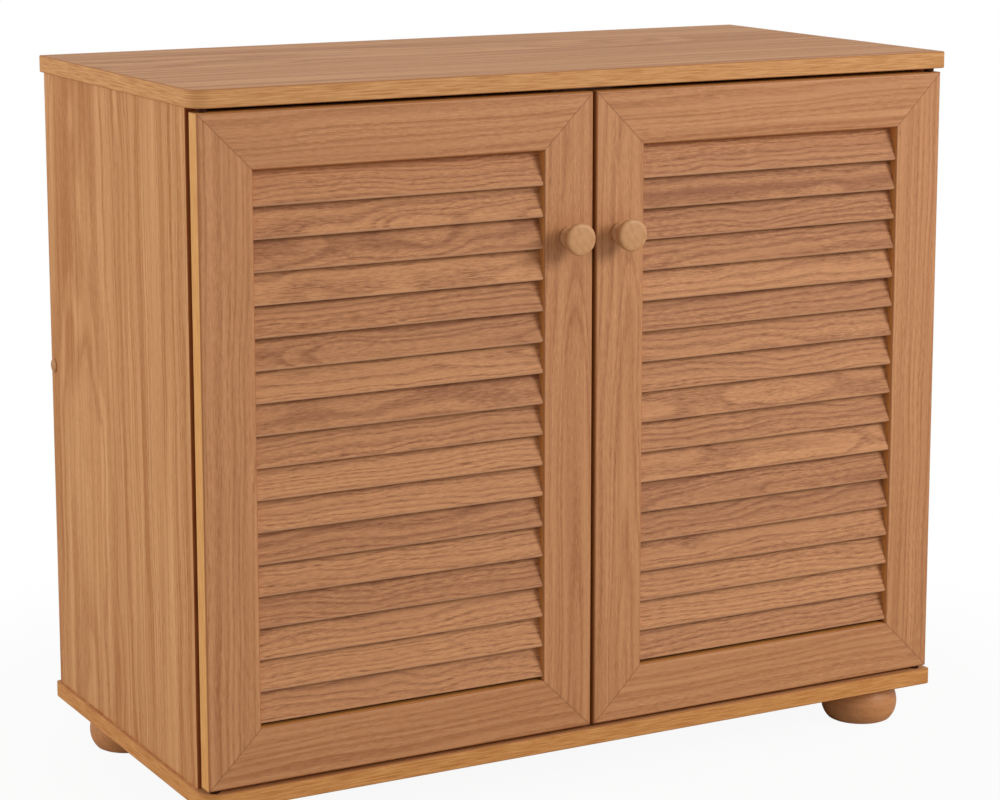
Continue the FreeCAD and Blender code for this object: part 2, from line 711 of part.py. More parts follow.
def pin_master():
    """A pivot pin pointing up, its collar standing on z = 0, the face of the base."""
    body = new_body("pin_master")
    turned(body, [
        ("0", "-pin_panel_length"),
        ("pin_radius", "-pin_panel_length"),
        ("pin_radius", "0"),
        ("pin_collar_radius", "0"),
        ("pin_collar_radius", "door_gap_bottom"),
        ("pin_radius", "door_gap_bottom"),
        ("pin_radius", "door_gap_bottom + pin_door_length"),
        ("0", "door_gap_bottom + pin_door_length"),
    ])
    return body


def cap_master():
    """A domed screw cap lying on z = 0, with a peg below for the screw's drive recess."""
    body = new_body("cap_master")
    turned(body, [
        ("0", "-cap_peg_length"),
        ("cap_peg_radius", "-cap_peg_length"),
        ("cap_peg_radius", "0"),
        ("cap_radius", "0"),
        ("cap_radius", "cap_edge", "cap_arc"),
        ("0", "cap_dome"),
    ])
    return body


def magnet_master():
    """Front face on y = 0, centred on x and z."""
    body = new_body("magnet_master")
    sketch = new_sketch(body, "XZ_Plane")
    rectangle(sketch, "-magnet_half", "magnet_half", "-magnet_half_height", "magnet_half_height")
    pad(body, sketch, "magnet_depth", backwards=True)
    return body


def fasteners_and_feet():
    up = turn_from_up(Z_AXIS)
    down = turn_from_up(-Z_AXIS)
    flips = SIDES.values()
    keep(group("feet", foot_master(), [
        ("0 - cap_half + foot_side_inset", "0 - cap_front_overhang + " + y, "foot_height", flip, up)
        for flip in flips for y in FOOT_ROWS
    ]))
    into_sides = [("0 - side_screw_x", "side_front + " + y, "foot_height", flip, down)
                  for flip in flips for y in SIDE_SCREWS]
    into_feet = [("0 - cap_half + foot_side_inset", "0 - cap_front_overhang + " + y, "base_top", flip, up)
                 for flip in flips for y in FOOT_ROWS]
    into_rail = [("0 - case_half", "side_back - board_middle", "base_top + rail_centre", flip,
                  turn_from_up(-X_AXIS * flip)) for flip in flips]
    keep(group("carcass_screws", screw_master(), into_sides + into_feet + into_rail))
    into_top = [("0 - side_screw_x", "side_front + " + y, "top_underside", flip, up)
                for flip in flips for y in SIDE_DOWELS]
    into_shelf = [("0 - case_half + board", "side_front + shelf_setback + " + y,
                   "base_top + shelf_height + board_middle", flip, turn_from_up(-X_AXIS * flip))
                  for flip in flips for y in SHELF_DOWELS]
    keep(group("carcass_dowels", dowel_master(), into_top + into_shelf))
    keep(group("screw_caps", cap_master(), into_rail))
    lower = [("0 - pivot_x", "door_mid_depth", "base_top", flip, up) for flip in flips]
    upper = [("0 - pivot_x", "door_mid_depth", "top_underside", flip, down) for flip in flips]
    keep(group("pivot_pins", pin_master(), lower + upper))
    keep(group("catch_magnets", magnet_master(), [
        ("0 - catch_x", "catch_front", "top_underside - plate_middle", flip, up) for flip in flips
    ]))


def magnet_catch():
    """A double catch under the top panel, with a screw ear on each end: front face on y = 0, top on z = 0."""
    body = keep(new_body("magnet_catch"))
    block = new_sketch(body, "XY_Plane")
    rectangle(block, "-catch_half", "catch_half", "0", "catch_depth")
    pad(body, block, "catch_height", backwards=True)
    ears = new_sketch(body, "XY_Plane")
    rectangle(ears, "-catch_ear_half", "catch_ear_half", "0", "catch_depth")
    pad(body, ears, "catch_ear_thickness", backwards=True)
    holes = new_sketch(body, "XY_Plane")
    circles(holes, "catch_hole_radius", both_sides("catch_ear_x", ["catch_mid_depth"]))
    pocket(body, holes, "catch_ear_thickness")
    magnets = new_sketch(body, "XZ_Plane")
    for flip in SIDES.values():
        rectangle(magnets, "catch_x - magnet_half - magnet_play", "catch_x + magnet_half + magnet_play",
                  "0 - plate_middle - magnet_half_height - magnet_play",
                  "0 - plate_middle + magnet_half_height + magnet_play", flip)
    pocket(body, magnets, "magnet_pocket_depth")
    place(body, y="catch_front", z="top_underside")


# ---------------------------------------------------------------- doors

def at_door(thing, flip, x="0", y="0", z="0"):
    """Places a piece by its point in the door's own frame."""
    place(thing, "0 - door_edge_x + " + x, y, "door_bottom + " + z, flip)


def from_far(formula):
    """Counts a sum from the door's meeting edge instead of its outer edge."""
    return "door_width" + negated(formula)


def from_top(formula):
    """Counts a sum from the door's top edge instead of its bottom edge."""
    return "door_height" + negated(formula)


def across_mitre(far_end, top, root, reach, start, finish):
    """The corners of a tongue, or of its slot, from its root on the rail's side to its reach in the stile.
    far_end counts x from the meeting edge, and top counts z from the top edge."""
    corners = [
        (f"{start} + {root}", f"{start} - {root}"),
        (f"{finish} + {root}", f"{finish} - {root}"),
        (f"{finish} - {reach}", f"{finish} + {reach}"),
        (f"{start} - {reach}", f"{start} + {reach}"),
    ]
    return [(from_far(x) if far_end else x, from_top(z) if top else z) for x, z in corners]


def round_front_edges(body, flip, x_values, z_values):
    """Eases the long front edges of a frame member, on the named x or z planes."""
    def on_edge(point):
        return near(point.y, 0) and (any(near(flip * point.x, x) for x in x_values)
                                     or any(near(point.z, z) for z in z_values))
    ease(body, "frame_easing", on_edge)


def bore_pivots(body, flip, ends):
    """Running holes for the pivot pins. The mitre crosses them, so stile and rail are bored alike."""
    for offset, forwards in ends:
        sketch = new_sketch(body, "XY_Plane", offset)
        circles(sketch, "pin_hole_radius", [("pivot_inset", "door_mid_depth")], flip)
        pocket(body, sketch, "pin_door_depth", forwards=forwards)


BOTTOM_BORE = ("0", True)
TOP_BORE = ("door_height", False)


def stile(side, name):
    """A mitred upright: tongue slots in both mitres and a row of angled housings for the slats."""
    flip = SIDES[side]
    is_inner = name == "stile_inner"
    body = keep(new_body(f"{side}_{name}"))
    count_x = from_far if is_inner else str
    sketch = new_sketch(body, "XZ_Plane")
    outline(sketch, [
        (count_x("0"), "0"),
        (count_x("frame_width"), "frame_width"),
        (count_x("frame_width"), "door_height - frame_width"),
        (count_x("0"), "door_height"),
    ], flip)
    pad(body, sketch, "door_thickness", backwards=True)
    round_front_edges(body, flip, [value(count_x("0")), value(count_x("frame_width"))], [])

    slots = new_sketch(body, "XZ_Plane", "0 - door_mid_depth")
    for top in (False, True):
        outline(slots, across_mitre(is_inner, top, "tongue_slot_reach", "tongue_slot_reach",
                                    "tongue_start - tongue_play", "tongue_inner + tongue_play"), flip)
    pocket(body, slots, "tongue_slot_thickness", both_ways=True)

    housing = new_sketch(body, "YZ_Plane", count_x("frame_width"), flip)
    round_ended_slot(housing, "housing_radius", ("slat_edge_front", "slat_first"),
                     ("slat_edge_back", "slat_first + slat_edge_rise"))
    cuts_forwards = (flip > 0) == is_inner
    cut = pocket(body, housing, "housing_depth", forwards=cuts_forwards)
    repeat_upwards(body, cut, "housing_run", "slat_count")

    if is_inner:
        knob_hole = new_sketch(body, "XZ_Plane")
        circles(knob_hole, "tenon_hole_radius", [(count_x("stile_middle"), from_top("knob_drop"))], flip)
        pocket(body, knob_hole, "tenon_length + tenon_play")
    else:
        bore_pivots(body, flip, [BOTTOM_BORE, TOP_BORE])
    at_door(body, flip)


def rail(side, name):
    """A mitred cross member with a tongue on each end."""
    flip = SIDES[side]
    is_top = name == "rail_top"
    count_z = from_top if is_top else str
    body = keep(new_body(f"{side}_{name}"))
    sketch = new_sketch(body, "XZ_Plane")
    outline(sketch, [
        ("0", count_z("0")),
        ("door_width", count_z("0")),
        ("door_width - frame_width", count_z("frame_width")),
        ("frame_width", count_z("frame_width")),
    ], flip)
    pad(body, sketch, "door_thickness", backwards=True)
    round_front_edges(body, flip, [], [value(count_z("0")), value(count_z("frame_width"))])
    tongues = new_sketch(body, "XZ_Plane", "0 - door_mid_depth")
    for far_end in (False, True):
        outline(tongues, across_mitre(far_end, is_top, "tongue_root", "tongue_reach",
                                      "tongue_start", "tongue_inner"), flip)
    pad(body, tongues, "tongue_thickness", both_ways=True)
    bore_pivots(body, flip, [TOP_BORE if is_top else BOTTOM_BORE])
    at_door(body, flip)


def knob(side):
    """A turned knob with its axis along y: head, waist and foot before the stile, tenon behind its face."""
    flip = SIDES[side]
    body = keep(new_body(f"{side}_knob"))
    turned(body, [
        ("0", "tenon_length"),
        ("0", "-knob_projection", "knob_crown_arc"),
        ("knob_face_radius", "-knob_face_height", "knob_rim_arc"),
        ("knob_radius", "-knob_widest_height", "knob_under_arc"),
        ("knob_under_radius", "-knob_under_height"),
        ("knob_neck_radius", "-knob_neck_height"),
        ("knob_base_radius", "-knob_base_height"),
        ("knob_base_radius", "0"),
        ("tenon_radius", "0"),
        ("tenon_radius", "tenon_length"),
    ], plane="XY_Plane")
    at_door(body, flip, "door_width - stile_middle", "0", "door_height - knob_drop")


def strike_plate(side):
    """A flat steel plate screwed on the back of the door at its top meeting corner, opposite the magnet."""
    flip = SIDES[side]
    body = keep(new_body(f"{side}_strike_plate"))
    sketch = new_sketch(body, "XZ_Plane")
    rectangle(sketch, "-plate_half", "plate_half", "-plate_half_height", "plate_half_height")
    circles(sketch, "plate_hole_radius", [("0", "0")])
    pad(body, sketch, "plate_thickness", backwards=True)
    at_door(body, flip, "door_width - plate_side_inset - plate_half", "door_thickness",
            "door_height - plate_top_inset - plate_half_height")


def slat(side, number):
    """A tilted slat, lower edge forward, its ends in the stiles' housings."""
    flip = SIDES[side]
    body = keep(new_body(f"{side}_slat_{number + 1:02d}"))
    sketch = new_sketch(body, "YZ_Plane")
    round_ended_slot(sketch, "slat_radius", ("slat_edge_front", "0"), ("slat_edge_back", "slat_edge_rise"))
    pad(body, sketch, "slat_length", both_ways=True)
    at_door(body, flip, "door_middle", "0", "slat_first")
    climb = f"{bound('door_bottom + slat_first')} + {number} * Sizes.slat_pitch"
    body.setExpression("Placement.Base.z", climb)


def door(side):
    for name in ("stile_outer", "stile_inner"):
        stile(side, name)
    for name in ("rail_top", "rail_bottom"):
        rail(side, name)
    knob(side)
    strike_plate(side)
    for number in range(int(value("slat_count"))):
        slat(side, number)


# ---------------------------------------------------------------- build and write

def check_all():
    """Nothing is written unless every object computed and every piece is a sound solid."""
    for thing in doc.Objects:
        if "Invalid" in thing.State or "Error" in thing.State:
            raise RuntimeError(f"{thing.Label} failed: {thing.State}")
    for piece in PARTS:
        shape = piece.Shape
        if shape.isNull() or not shape.isValid() or not shape.Solids:
            raise RuntimeError(f"{piece.Label} is not a sound solid")


top_panel()
base_panel()
for side_name in SIDES:
    side_panel(side_name)
shelf()
rear_rail()
back_panel()
fasteners_and_feet()
magnet_catch()
for side_name in SIDES:
    door(side_name)
doc.recompute()
check_all()

os.makedirs("parts", exist_ok=True)
for piece in PARTS:
    piece.Shape.exportStep(os.path.join("parts", piece.Label + ".step"))
    solids = len(piece.Shape.Solids)
    print(f"{piece.Label}: {solids} solid{'s' if solids > 1 else ''}, {piece.Shape.Volume / 1000:.2f} cm3")
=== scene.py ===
import math

import bmesh
import bpy
from bpy.props import FloatProperty, FloatVectorProperty, IntProperty, PointerProperty
from bpy.types import Operator, Panel, PropertyGroup
from mathutils import Matrix, Vector


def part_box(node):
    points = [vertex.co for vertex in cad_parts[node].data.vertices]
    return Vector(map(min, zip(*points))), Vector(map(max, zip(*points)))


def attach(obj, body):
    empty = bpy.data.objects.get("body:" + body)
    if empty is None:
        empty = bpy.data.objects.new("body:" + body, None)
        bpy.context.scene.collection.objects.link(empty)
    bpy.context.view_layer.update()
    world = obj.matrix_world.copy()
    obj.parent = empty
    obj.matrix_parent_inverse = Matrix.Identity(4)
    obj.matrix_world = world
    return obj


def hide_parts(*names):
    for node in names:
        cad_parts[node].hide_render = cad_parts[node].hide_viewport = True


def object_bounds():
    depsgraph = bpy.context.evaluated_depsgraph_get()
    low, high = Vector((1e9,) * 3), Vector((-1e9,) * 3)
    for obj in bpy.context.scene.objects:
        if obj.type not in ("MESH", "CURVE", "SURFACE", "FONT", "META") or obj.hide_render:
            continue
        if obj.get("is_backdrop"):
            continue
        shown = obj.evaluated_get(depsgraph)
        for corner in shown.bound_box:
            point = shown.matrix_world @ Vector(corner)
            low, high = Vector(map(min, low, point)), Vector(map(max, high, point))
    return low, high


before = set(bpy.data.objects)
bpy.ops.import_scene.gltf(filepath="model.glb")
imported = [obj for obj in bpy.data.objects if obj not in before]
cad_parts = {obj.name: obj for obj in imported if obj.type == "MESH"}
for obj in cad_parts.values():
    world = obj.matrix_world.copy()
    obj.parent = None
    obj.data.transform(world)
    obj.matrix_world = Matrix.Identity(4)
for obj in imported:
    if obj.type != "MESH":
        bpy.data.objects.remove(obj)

bl_info = {
    "name": "Louvred door cabinet",
    "version": (1, 0, 0),
    "blender": (4, 5, 0),
    "location": "3D View > Sidebar > Cabinet",
    "description": "Finishes the boards and door frames, and makes slats, knobs, feet, fittings and stage",
    "category": "Object",
}

MM = 0.001
DOORS = ("left", "right")
UNIT = {"X": Vector((1, 0, 0)), "Y": Vector((0, 1, 0)), "Z": Vector((0, 0, 1))}

# grain direction and the direction across it, on the widest face of each board
BOARDS = {
    "top_panel": ("X", "Y"),
    "base_panel": ("X", "Y"),
    "side_panel_left": ("Z", "Y"),
    "side_panel_right": ("Z", "Y"),
    "shelf": ("X", "Y"),
    "rear_rail": ("X", "Z"),
}
FRAME_MEMBERS = {
    "stile_outer": ("Z", "X"),
    "stile_inner": ("Z", "X"),
    "rail_top": ("X", "Z"),
    "rail_bottom": ("X", "Z"),
}

DOOR_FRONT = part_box("left_stile_outer")[0].y
BASE_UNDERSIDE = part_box("base_panel")[0].z

TOUCH = 0.01 * MM              # corners nearer than this are one, and lie on one plane
SHARP = math.radians(35.0)     # an edge that turns by more stays sharp
LEVEL = math.radians(1.0)      # faces that turn by less are one face
VARNISH_IOR = 1.5              # lacquer, melamine and moulded plastic


# ---------------------------------------------------------------- shared tools

def linear(hex_colour):
    """An sRGB hex value, such as "C08C63", as the linear colour and alpha that Blender takes."""
    parts = [int(hex_colour[i:i + 2], 16) / 255 for i in (0, 2, 4)]
    return tuple(c / 12.92 if c <= 0.04045 else ((c + 0.055) / 1.055) ** 2.4 for c in parts) + (1.0,)


def shaded(colour, factor):
    """A darker or lighter tone of a colour."""
    return tuple(c * factor for c in colour[:3]) + (1.0,)


def feed(tree, node, feeds):
    """Sets a node's inputs, in order or by name. A feed is a value, a socket, or a node, which gives its
    first output."""
    sockets = [s for s in node.inputs if s.enabled]
    for key, source in feeds.items() if isinstance(feeds, dict) else enumerate(feeds):
        socket = sockets[key] if isinstance(key, int) else next(s for s in sockets if s.name == key)
        if isinstance(source, bpy.types.Node):
            source = next(s for s in source.outputs if s.enabled)
        if isinstance(source, bpy.types.NodeSocket):
            tree.links.new(source, socket)
        else:
            socket.default_value = source


def add(tree, kind, feeds=(), **settings):
    """Adds a node with its settings, which are its properties, and its feeds."""
    node = tree.nodes.new(kind)
    for name, setting in settings.items():
        setattr(node, name, setting)
    feed(tree, node, feeds)
    return node


def bare_tree(owner):
    """The emptied node tree of a material or a world."""
    owner.use_nodes = True
    owner.node_tree.nodes.clear()
    return owner.node_tree


def new_material(name, constants):
    """A material with one Principled shader, whose constants are set on its own sockets."""
    material = bpy.data.materials.new(name)
    tree = bare_tree(material)
    shader = add(tree, "ShaderNodeBsdfPrincipled", constants)
    add(tree, "ShaderNodeOutputMaterial", {"Surface": shader})
    return material, tree, shader


def varnished(name, gloss):
    """A lacquered or moulded surface, and how much it shines."""
    return new_material(name, {"IOR": VARNISH_IOR, "Specular IOR Level": gloss})


def give(node_name, material):
    """Puts one material on a CAD node that keeps its shape."""
    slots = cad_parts[node_name].data.materials
    slots.clear()
    slots.append(material)


def new_object(name, data):
    """Adds an object that holds a mesh, a light or a camera."""
    thing = bpy.data.objects.new(name, data)
    bpy.context.scene.collection.objects.link(thing)
    return thing


def new_piece(name, mesh, body, replaced, material=None):
    """Adds a finished mesh as a piece that rides on a body and stands for the CAD nodes it replaces."""
    mesh.name = name
    piece = new_object(name, mesh)
    if material is not None:
        mesh.materials.clear()
        mesh.materials.append(material)
    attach(piece, body)
    if replaced:
        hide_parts(*replaced)
    return piece


def evaluated_mesh(thing):
    """The plain mesh that an object's modifiers make."""
    bpy.context.view_layer.update()
    depsgraph = bpy.context.evaluated_depsgraph_get()
    return bpy.data.meshes.new_from_object(thing.evaluated_get(depsgraph), preserve_all_data_layers=True,
                                           depsgraph=depsgraph)


def span(points):
    """The lowest and highest corner of the box round some points."""
    axes = list(zip(*points))
    return Vector([min(axis) for axis in axes]), Vector([max(axis) for axis in axes])


def solids_of(node_name):
    """The separate solids of a CAD node, each as its corner points, in order of their place."""
    shape = bmesh.new()
    shape.from_mesh(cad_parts[node_name].data)
    bmesh.ops.remove_doubles(shape, verts=shape.verts, dist=TOUCH)
    waiting = set(shape.verts)
    solids = []
    while waiting:
        border = [waiting.pop()]
        points = []
        while border:
            vertex = border.pop()
            points.append(vertex.co.copy())
            for edge in vertex.link_edges:
                other = edge.other_vert(vertex)
                if other in waiting:
                    waiting.remove(other)
                    border.append(other)
        solids.append(points)
    shape.free()
    return sorted(solids, key=lambda points: [round(v, 4) for v in span(points)[0]])


def far_face(points, look):
    """The middle of a solid's far face, on the side that a direction looks to."""
    low, high = span(points)
    return (low + high) / 2 + Vector([w * (h - l) / 2 for w, h, l in zip(look, high, low)])


# ---------------------------------------------------------------- turned shapes

def finished_mesh(shape, name):
    """Turns a shape's faces outwards and makes it a mesh."""
    bmesh.ops.recalc_face_normals(shape, faces=shape.faces)
    mesh = bpy.data.meshes.new(name)
    shape.to_mesh(mesh)
    shape.free()
    return mesh


def lathe(name, outline, segments=48):
    """A turned shape round the Z axis, from (radius, height) points that run up from pole to pole."""
    shape = bmesh.new()
    turns = [2 * math.pi * i / segments for i in range(segments)]
    circle = [(math.cos(t), math.sin(t)) for t in turns]
    rings = []
    for radius, height in outline:
        if radius < TOUCH:
            rings.append([shape.verts.new((0, 0, height))])
        else:
            rings.append([shape.verts.new((radius * x, radius * y, height)) for x, y in circle])
    for lower, upper in zip(rings, rings[1:]):
        for i in range(segments):
            places = ((lower, i), (lower, i + 1), (upper, i + 1), (upper, i))
            corners = [ring[place % len(ring)] for ring, place in places]
            shape.faces.new(tuple(dict.fromkeys(corners)))     # a pole's corner counts once
    mesh = finished_mesh(shape, name)
    mesh.shade_smooth()
    mesh.set_sharp_from_angle(angle=SHARP)
    return mesh


def upright_arc(widest, end, steps):
    """Points from an end to the widest place of a turned piece, on the arc that stands upright there."""
    out = widest[0] - end[0]
    rise = abs(widest[1] - end[1])
    radius = (out ** 2 + rise ** 2) / (2 * out)
    points = []
    for i in range(steps + 1):
        height = end[1] + (widest[1] - end[1]) * i / steps
        reach = math.sqrt(max(radius ** 2 - (height - widest[1]) ** 2, 0.0))
        points.append((widest[0] - radius + reach, height))
    return points


def cove(foot, waist, rim, steps):
    """Points of a hollow curve through three (radius, height) points."""
    points = []
    for i in range(steps + 1):
        height = foot[1] + (rim[1] - foot[1]) * i / steps
        radius = 0.0
        for here, second, third in ((foot, waist, rim), (waist, foot, rim), (rim, foot, waist)):
            weight = (height - second[1]) * (height - third[1])
            radius += here[0] * weight / ((here[1] - second[1]) * (here[1] - third[1]))
        points.append((radius, height))
    return points


def dome(radius, height, steps):
    """Points of a domed top, from its rim up to its middle on z = 0."""
    turns = [math.pi / 2 * i / steps for i in range(steps)]
    return [(radius * math.cos(t), height * (math.sin(t) - 1)) for t in turns] + [(0.0, 0.0)]


def screw_head(points):
    """The middle of a screw's head and the way it looks. Its point is one corner, its head has many."""
    low, high = span(points)
    axis = max(range(3), key=lambda i: high[i] - low[i])
    at_low = sum(1 for p in points if p[axis] - low[axis] < TOUCH)
    at_high = sum(1 for p in points if high[axis] - p[axis] < TOUCH)
    look = Vector((0, 0, 0))
    look[axis] = -1.0 if at_low > at_high else 1.0
    return far_face(points, look), look


def cross_cutter(arm, width, depth, taper=0.5):
    """A cross that tapers downwards, as deep below z = 0 as it is high above it."""
    corners = []
    for turn in range(4):
        quarter = Matrix.Rotation(-turn * math.pi / 2, 2)
        corners += [quarter @ Vector(c) for c in ((width, width), (arm, width), (arm, -width))]
    shape = bmesh.new()
    upper = [shape.verts.new((c.x, c.y, depth)) for c in corners]
    lower = [shape.verts.new((c.x * taper, c.y * taper, -depth)) for c in corners]
    shape.faces.new(upper)
    shape.faces.new(lower[::-1])
    for i in range(len(corners)):
        j = (i + 1) % len(corners)
        shape.faces.new((upper[i], lower[i], lower[j], upper[j]))
    return finished_mesh(shape, "cross")


def sink_cross(mesh, arm, width, depth):
    """Cuts a tapered cross recess into a screw's head, whose face is on z = 0."""
    tool = new_object("cross", cross_cutter(arm, width, depth))
    blank = new_object("blank", mesh)
    cut = blank.modifiers.new("cross", "BOOLEAN")
    cut.operation = "DIFFERENCE"
    cut.object = tool
    done = evaluated_mesh(blank)
    for thing in (tool, blank):
        bpy.data.objects.remove(thing)
    if not done.polygons:
        raise RuntimeError("the cross recess left nothing of the screw's head")
    shape = bmesh.new()
    shape.from_mesh(done)
    bmesh.ops.remove_doubles(shape, verts=shape.verts, dist=TOUCH)
    bmesh.ops.dissolve_limit(shape, angle_limit=LEVEL, verts=shape.verts, edges=shape.edges)
    bmesh.ops.triangulate(shape, faces=shape.faces)
    bmesh.ops.dissolve_degenerate(shape, dist=TOUCH, edges=shape.edges)
    shape.to_mesh(done)
    shape.free()
    done.set_sharp_from_angle(angle=SHARP)
    return done


# ---------------------------------------------------------------- growth

# a piece's figure is where the trunk's heart lies: how far sideways, how far behind, and how it leans.
# These are the least and the most for grown pieces.
FIGURE_LOW = (-0.05, 0.008, -0.05)
FIGURE_HIGH = (0.05, 0.035, 0.05)
TONE_DRAW = 50.0                   # added to the seed, so that tone and figure are drawn apart
FIGURE_SEED = 7                    # of feet and small pieces


def new_growth(name, sockets):
    """A geometry tree with named inputs. Returns it with its inputs."""
    tree = bpy.data.node_groups.new(name, "GeometryNodeTree")
    tree.interface.new_socket("Geometry", in_out="OUTPUT", socket_type="NodeSocketGeometry")
    for label, kind in (("Geometry", "Geometry"),) + sockets + (("Seed", "Int"), ("Finish", "Material")):
        tree.interface.new_socket(label, in_out="INPUT", socket_type="NodeSocket" + kind)
    return tree, add(tree, "NodeGroupInput").outputs


def keep_grain(tree, piece):
    """Stores each point's place in the untilted piece, for the grain to follow."""
    spot = add(tree, "GeometryNodeInputPosition")
    return add(tree, "GeometryNodeStoreNamedAttribute", {"Geometry": piece, "Name": "grain", "Value": spot},
               data_type="FLOAT_VECTOR", domain="POINT")


def end_growth(tree, size, copies):
    """Gives every copy its own figure and tone, then makes them one mesh with its finish."""
    index = add(tree, "GeometryNodeInputIndex")
    tone_seed = add(tree, "ShaderNodeMath", [size["Seed"], TONE_DRAW], operation="ADD")
    draws = (
        ("figure", "FLOAT_VECTOR", FIGURE_LOW, FIGURE_HIGH, size["Seed"]),
        ("tone", "FLOAT", 0.0, 1.0, tone_seed),
    )
    for name, kind, low, high, seed in draws:
        draw = add(tree, "FunctionNodeRandomValue", {"Min": low, "Max": high, "ID": index, "Seed": seed},
                   data_type=kind)
        copies = add(tree, "GeometryNodeStoreNamedAttribute",
                     {"Geometry": copies, "Name": name, "Value": draw}, data_type=kind, domain="INSTANCE")
    whole = add(tree, "GeometryNodeRealizeInstances", [copies])
    whole = add(tree, "GeometryNodeSetMaterial", {"Geometry": whole, "Material": size["Finish"]})
    add(tree, "NodeGroupOutput", [whole])
    return tree


def like_pieces_tree():
    """Stands a copy of one piece on every point, turned as the point says."""
    tree, size = new_growth("Like pieces", (("Piece", "Object"),))
    piece = add(tree, "GeometryNodeObjectInfo", {"Object": size["Piece"]})
    piece = keep_grain(tree, piece.outputs["Geometry"])
    turn = add(tree, "GeometryNodeInputNamedAttribute", {"Name": "turn"}, data_type="FLOAT_VECTOR")
    copies = add(tree, "GeometryNodeInstanceOnPoints",
                 {"Points": size["Geometry"], "Instance": piece, "Rotation": turn})
    return end_growth(tree, size, copies)


def grow(tree, mesh, sizes):
    """Runs a geometry tree over a mesh and returns the plain mesh that it makes."""
    source = new_object("source", mesh)
    modifier = source.modifiers.new("growth", "NODES")
    modifier.node_group = tree
    for item in tree.interface.items_tree:
        if item.item_type == "SOCKET" and item.in_out == "INPUT" and item.name in sizes:
            modifier[item.identifier] = sizes[item.name]
    grown = evaluated_mesh(source)
    source.modifiers.remove(modifier)
    bpy.data.objects.remove(source)
    return grown


def repeat(name, mesh, places, body, replaced, material):
    """Adds one piece with a copy of a mesh on every place, which is a spot and the way the copy looks."""
    spots = bpy.data.meshes.new("spots")
    spots.from_pydata([spot for spot, look in places], [], [])
    turns = spots.attributes.new("turn", "FLOAT_VECTOR", "POINT")
    for turn, (spot, look) in zip(turns.data, places):
        turn.vector = UNIT["Z"].rotation_difference(look).to_euler()
    master = new_object("master", mesh)
    tree = bpy.data.node_groups.get("Like pieces") or like_pieces_tree()
    grown = grow(tree, spots, {"Piece": master, "Seed": FIGURE_SEED, "Finish": material})
    bpy.data.objects.remove(master)
    return new_piece(name, grown, body, replaced)


# ---------------------------------------------------------------- wood

PLANK_STEP = (1.7, 0.9, 0.4)               # from one board's spot in the plank to the next one's
PLANK_REACH = (37.0, 11.0, 5.0)            # how far a grown piece's tone takes its spot
WANDER_WIDTH = 55 * MM                     # how far across the grain one stray lasts
UNEVEN_RUN = 14 * MM                       # how soon the spacing of the rings changes
UNEVEN_RINGS = 3.0                         # how many rings it may run ahead
LATE_START = 0.80                          # late wood darkens from here to the end of its ring
LATE_END = 0.55                            # and fades up to here in the next
LATE_MEAN = 0.4                            # late wood that leaves the tone as it is
EARLY_PORES = 0.2                          # share of the pores that the rest of a ring has
STREAK_LENGTH = 400 * MM
FIBRE_LENGTH = 8 * MM
PATCH = (110 * MM, 17 * MM, 17 * MM)       # places where the fibres show more, or less
PATCH_STRENGTH = (0.55, 1.35)
PORE = (12 * MM, 0.75 * MM, 0.75 * MM)     # real ones are about 0.2 mm wide: drawn wider, to show at all
BAND_GRAIN = (33 * MM, 1.3 * MM, 1.0)      # on the edge band, which has no depth

# noise stays near its middle, so each of these ranges spreads that part of it
MIDDLE = 0.5
STREAK_RANGE = (0.28, 0.72)
PATCH_RANGE = (0.36, 0.64)
PORE_RANGE = (0.56, 0.70)                  # only the peaks are pores
BAND_RANGE = (0.40, 0.62)
CLOUD_RANGE = (0.3, 0.7)
SPECK_RANGE = (0.32, 0.68)

# how squarely a surface faces through its board where the eased corner, and then the edge, comes in
EASED_FACING = (0.97, 0.85)
EDGE_FACING = (0.5, 0.3)

PORE_DULLNESS = 0.16                       # added to the roughness
DARK_DEPTH = 0.35                          # of dark grain, as a share of a pore's depth
RELIEF_HEIGHT = 0.4 * MM


def grain_place(tree, node_name, along, across):
    """Object coordinates turned to (along the grain, across it, through the board), from its middle, and
    the surface direction turned the same way."""
    low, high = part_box(node_name)
    turn = Matrix((UNIT[along], UNIT[across], UNIT[along].cross(UNIT[across])))
    coordinates = add(tree, "ShaderNodeTexCoord").outputs
    place = add(tree, "ShaderNodeMapping", {
        "Vector": coordinates["Object"],
        "Location": turn @ (low + high) * -0.5,
        "Rotation": turn.to_euler(),
    }, vector_type="POINT")
    facing = add(tree, "ShaderNodeMapping", {
        "Vector": coordinates["Normal"],
        "Rotation": turn.to_euler(),
    }, vector_type="VECTOR")
    return place, facing


def own_grain(tree):
    """For grown pieces: the place along the grain, the figure, the tone, and the far spot in the plank."""
    grain, figure, tone = (add(tree, "ShaderNodeAttribute", attribute_name=name, attribute_type="GEOMETRY")
                           for name in ("grain", "figure", "tone"))
    spot = add(tree, "ShaderNodeSeparateXYZ", [grain.outputs["Vector"]]).outputs
    place = add(tree, "ShaderNodeCombineXYZ", [spot["X"], spot["Z"], spot["Y"]])
    far = add(tree, "ShaderNodeVectorMath", {0: PLANK_REACH, "Scale": tone.outputs["Fac"]},
              operation="SCALE")
    return place, figure.outputs["Vector"], tone.outputs["Fac"], far


def plank_spot(seed):
    """Another spot of the plank for each board."""
    return tuple(seed * step for step in PLANK_STEP)


def moved_figure(figure, sideways):
    """A figure whose heart lies further sideways."""
    return (figure[0] + sideways, *figure[1:])


def grain_blots(tree, place, size, detail, roughness=0.5):
    """Soft blots of a size along the grain, across it and through the board."""
    spot = add(tree, "ShaderNodeVectorMath", [place, tuple(1.0 / s for s in size)], operation="MULTIPLY")
    return add(tree, "ShaderNodeTexNoise",
               {"Vector": spot, "Scale": 1.0, "Detail": detail, "Roughness": roughness})


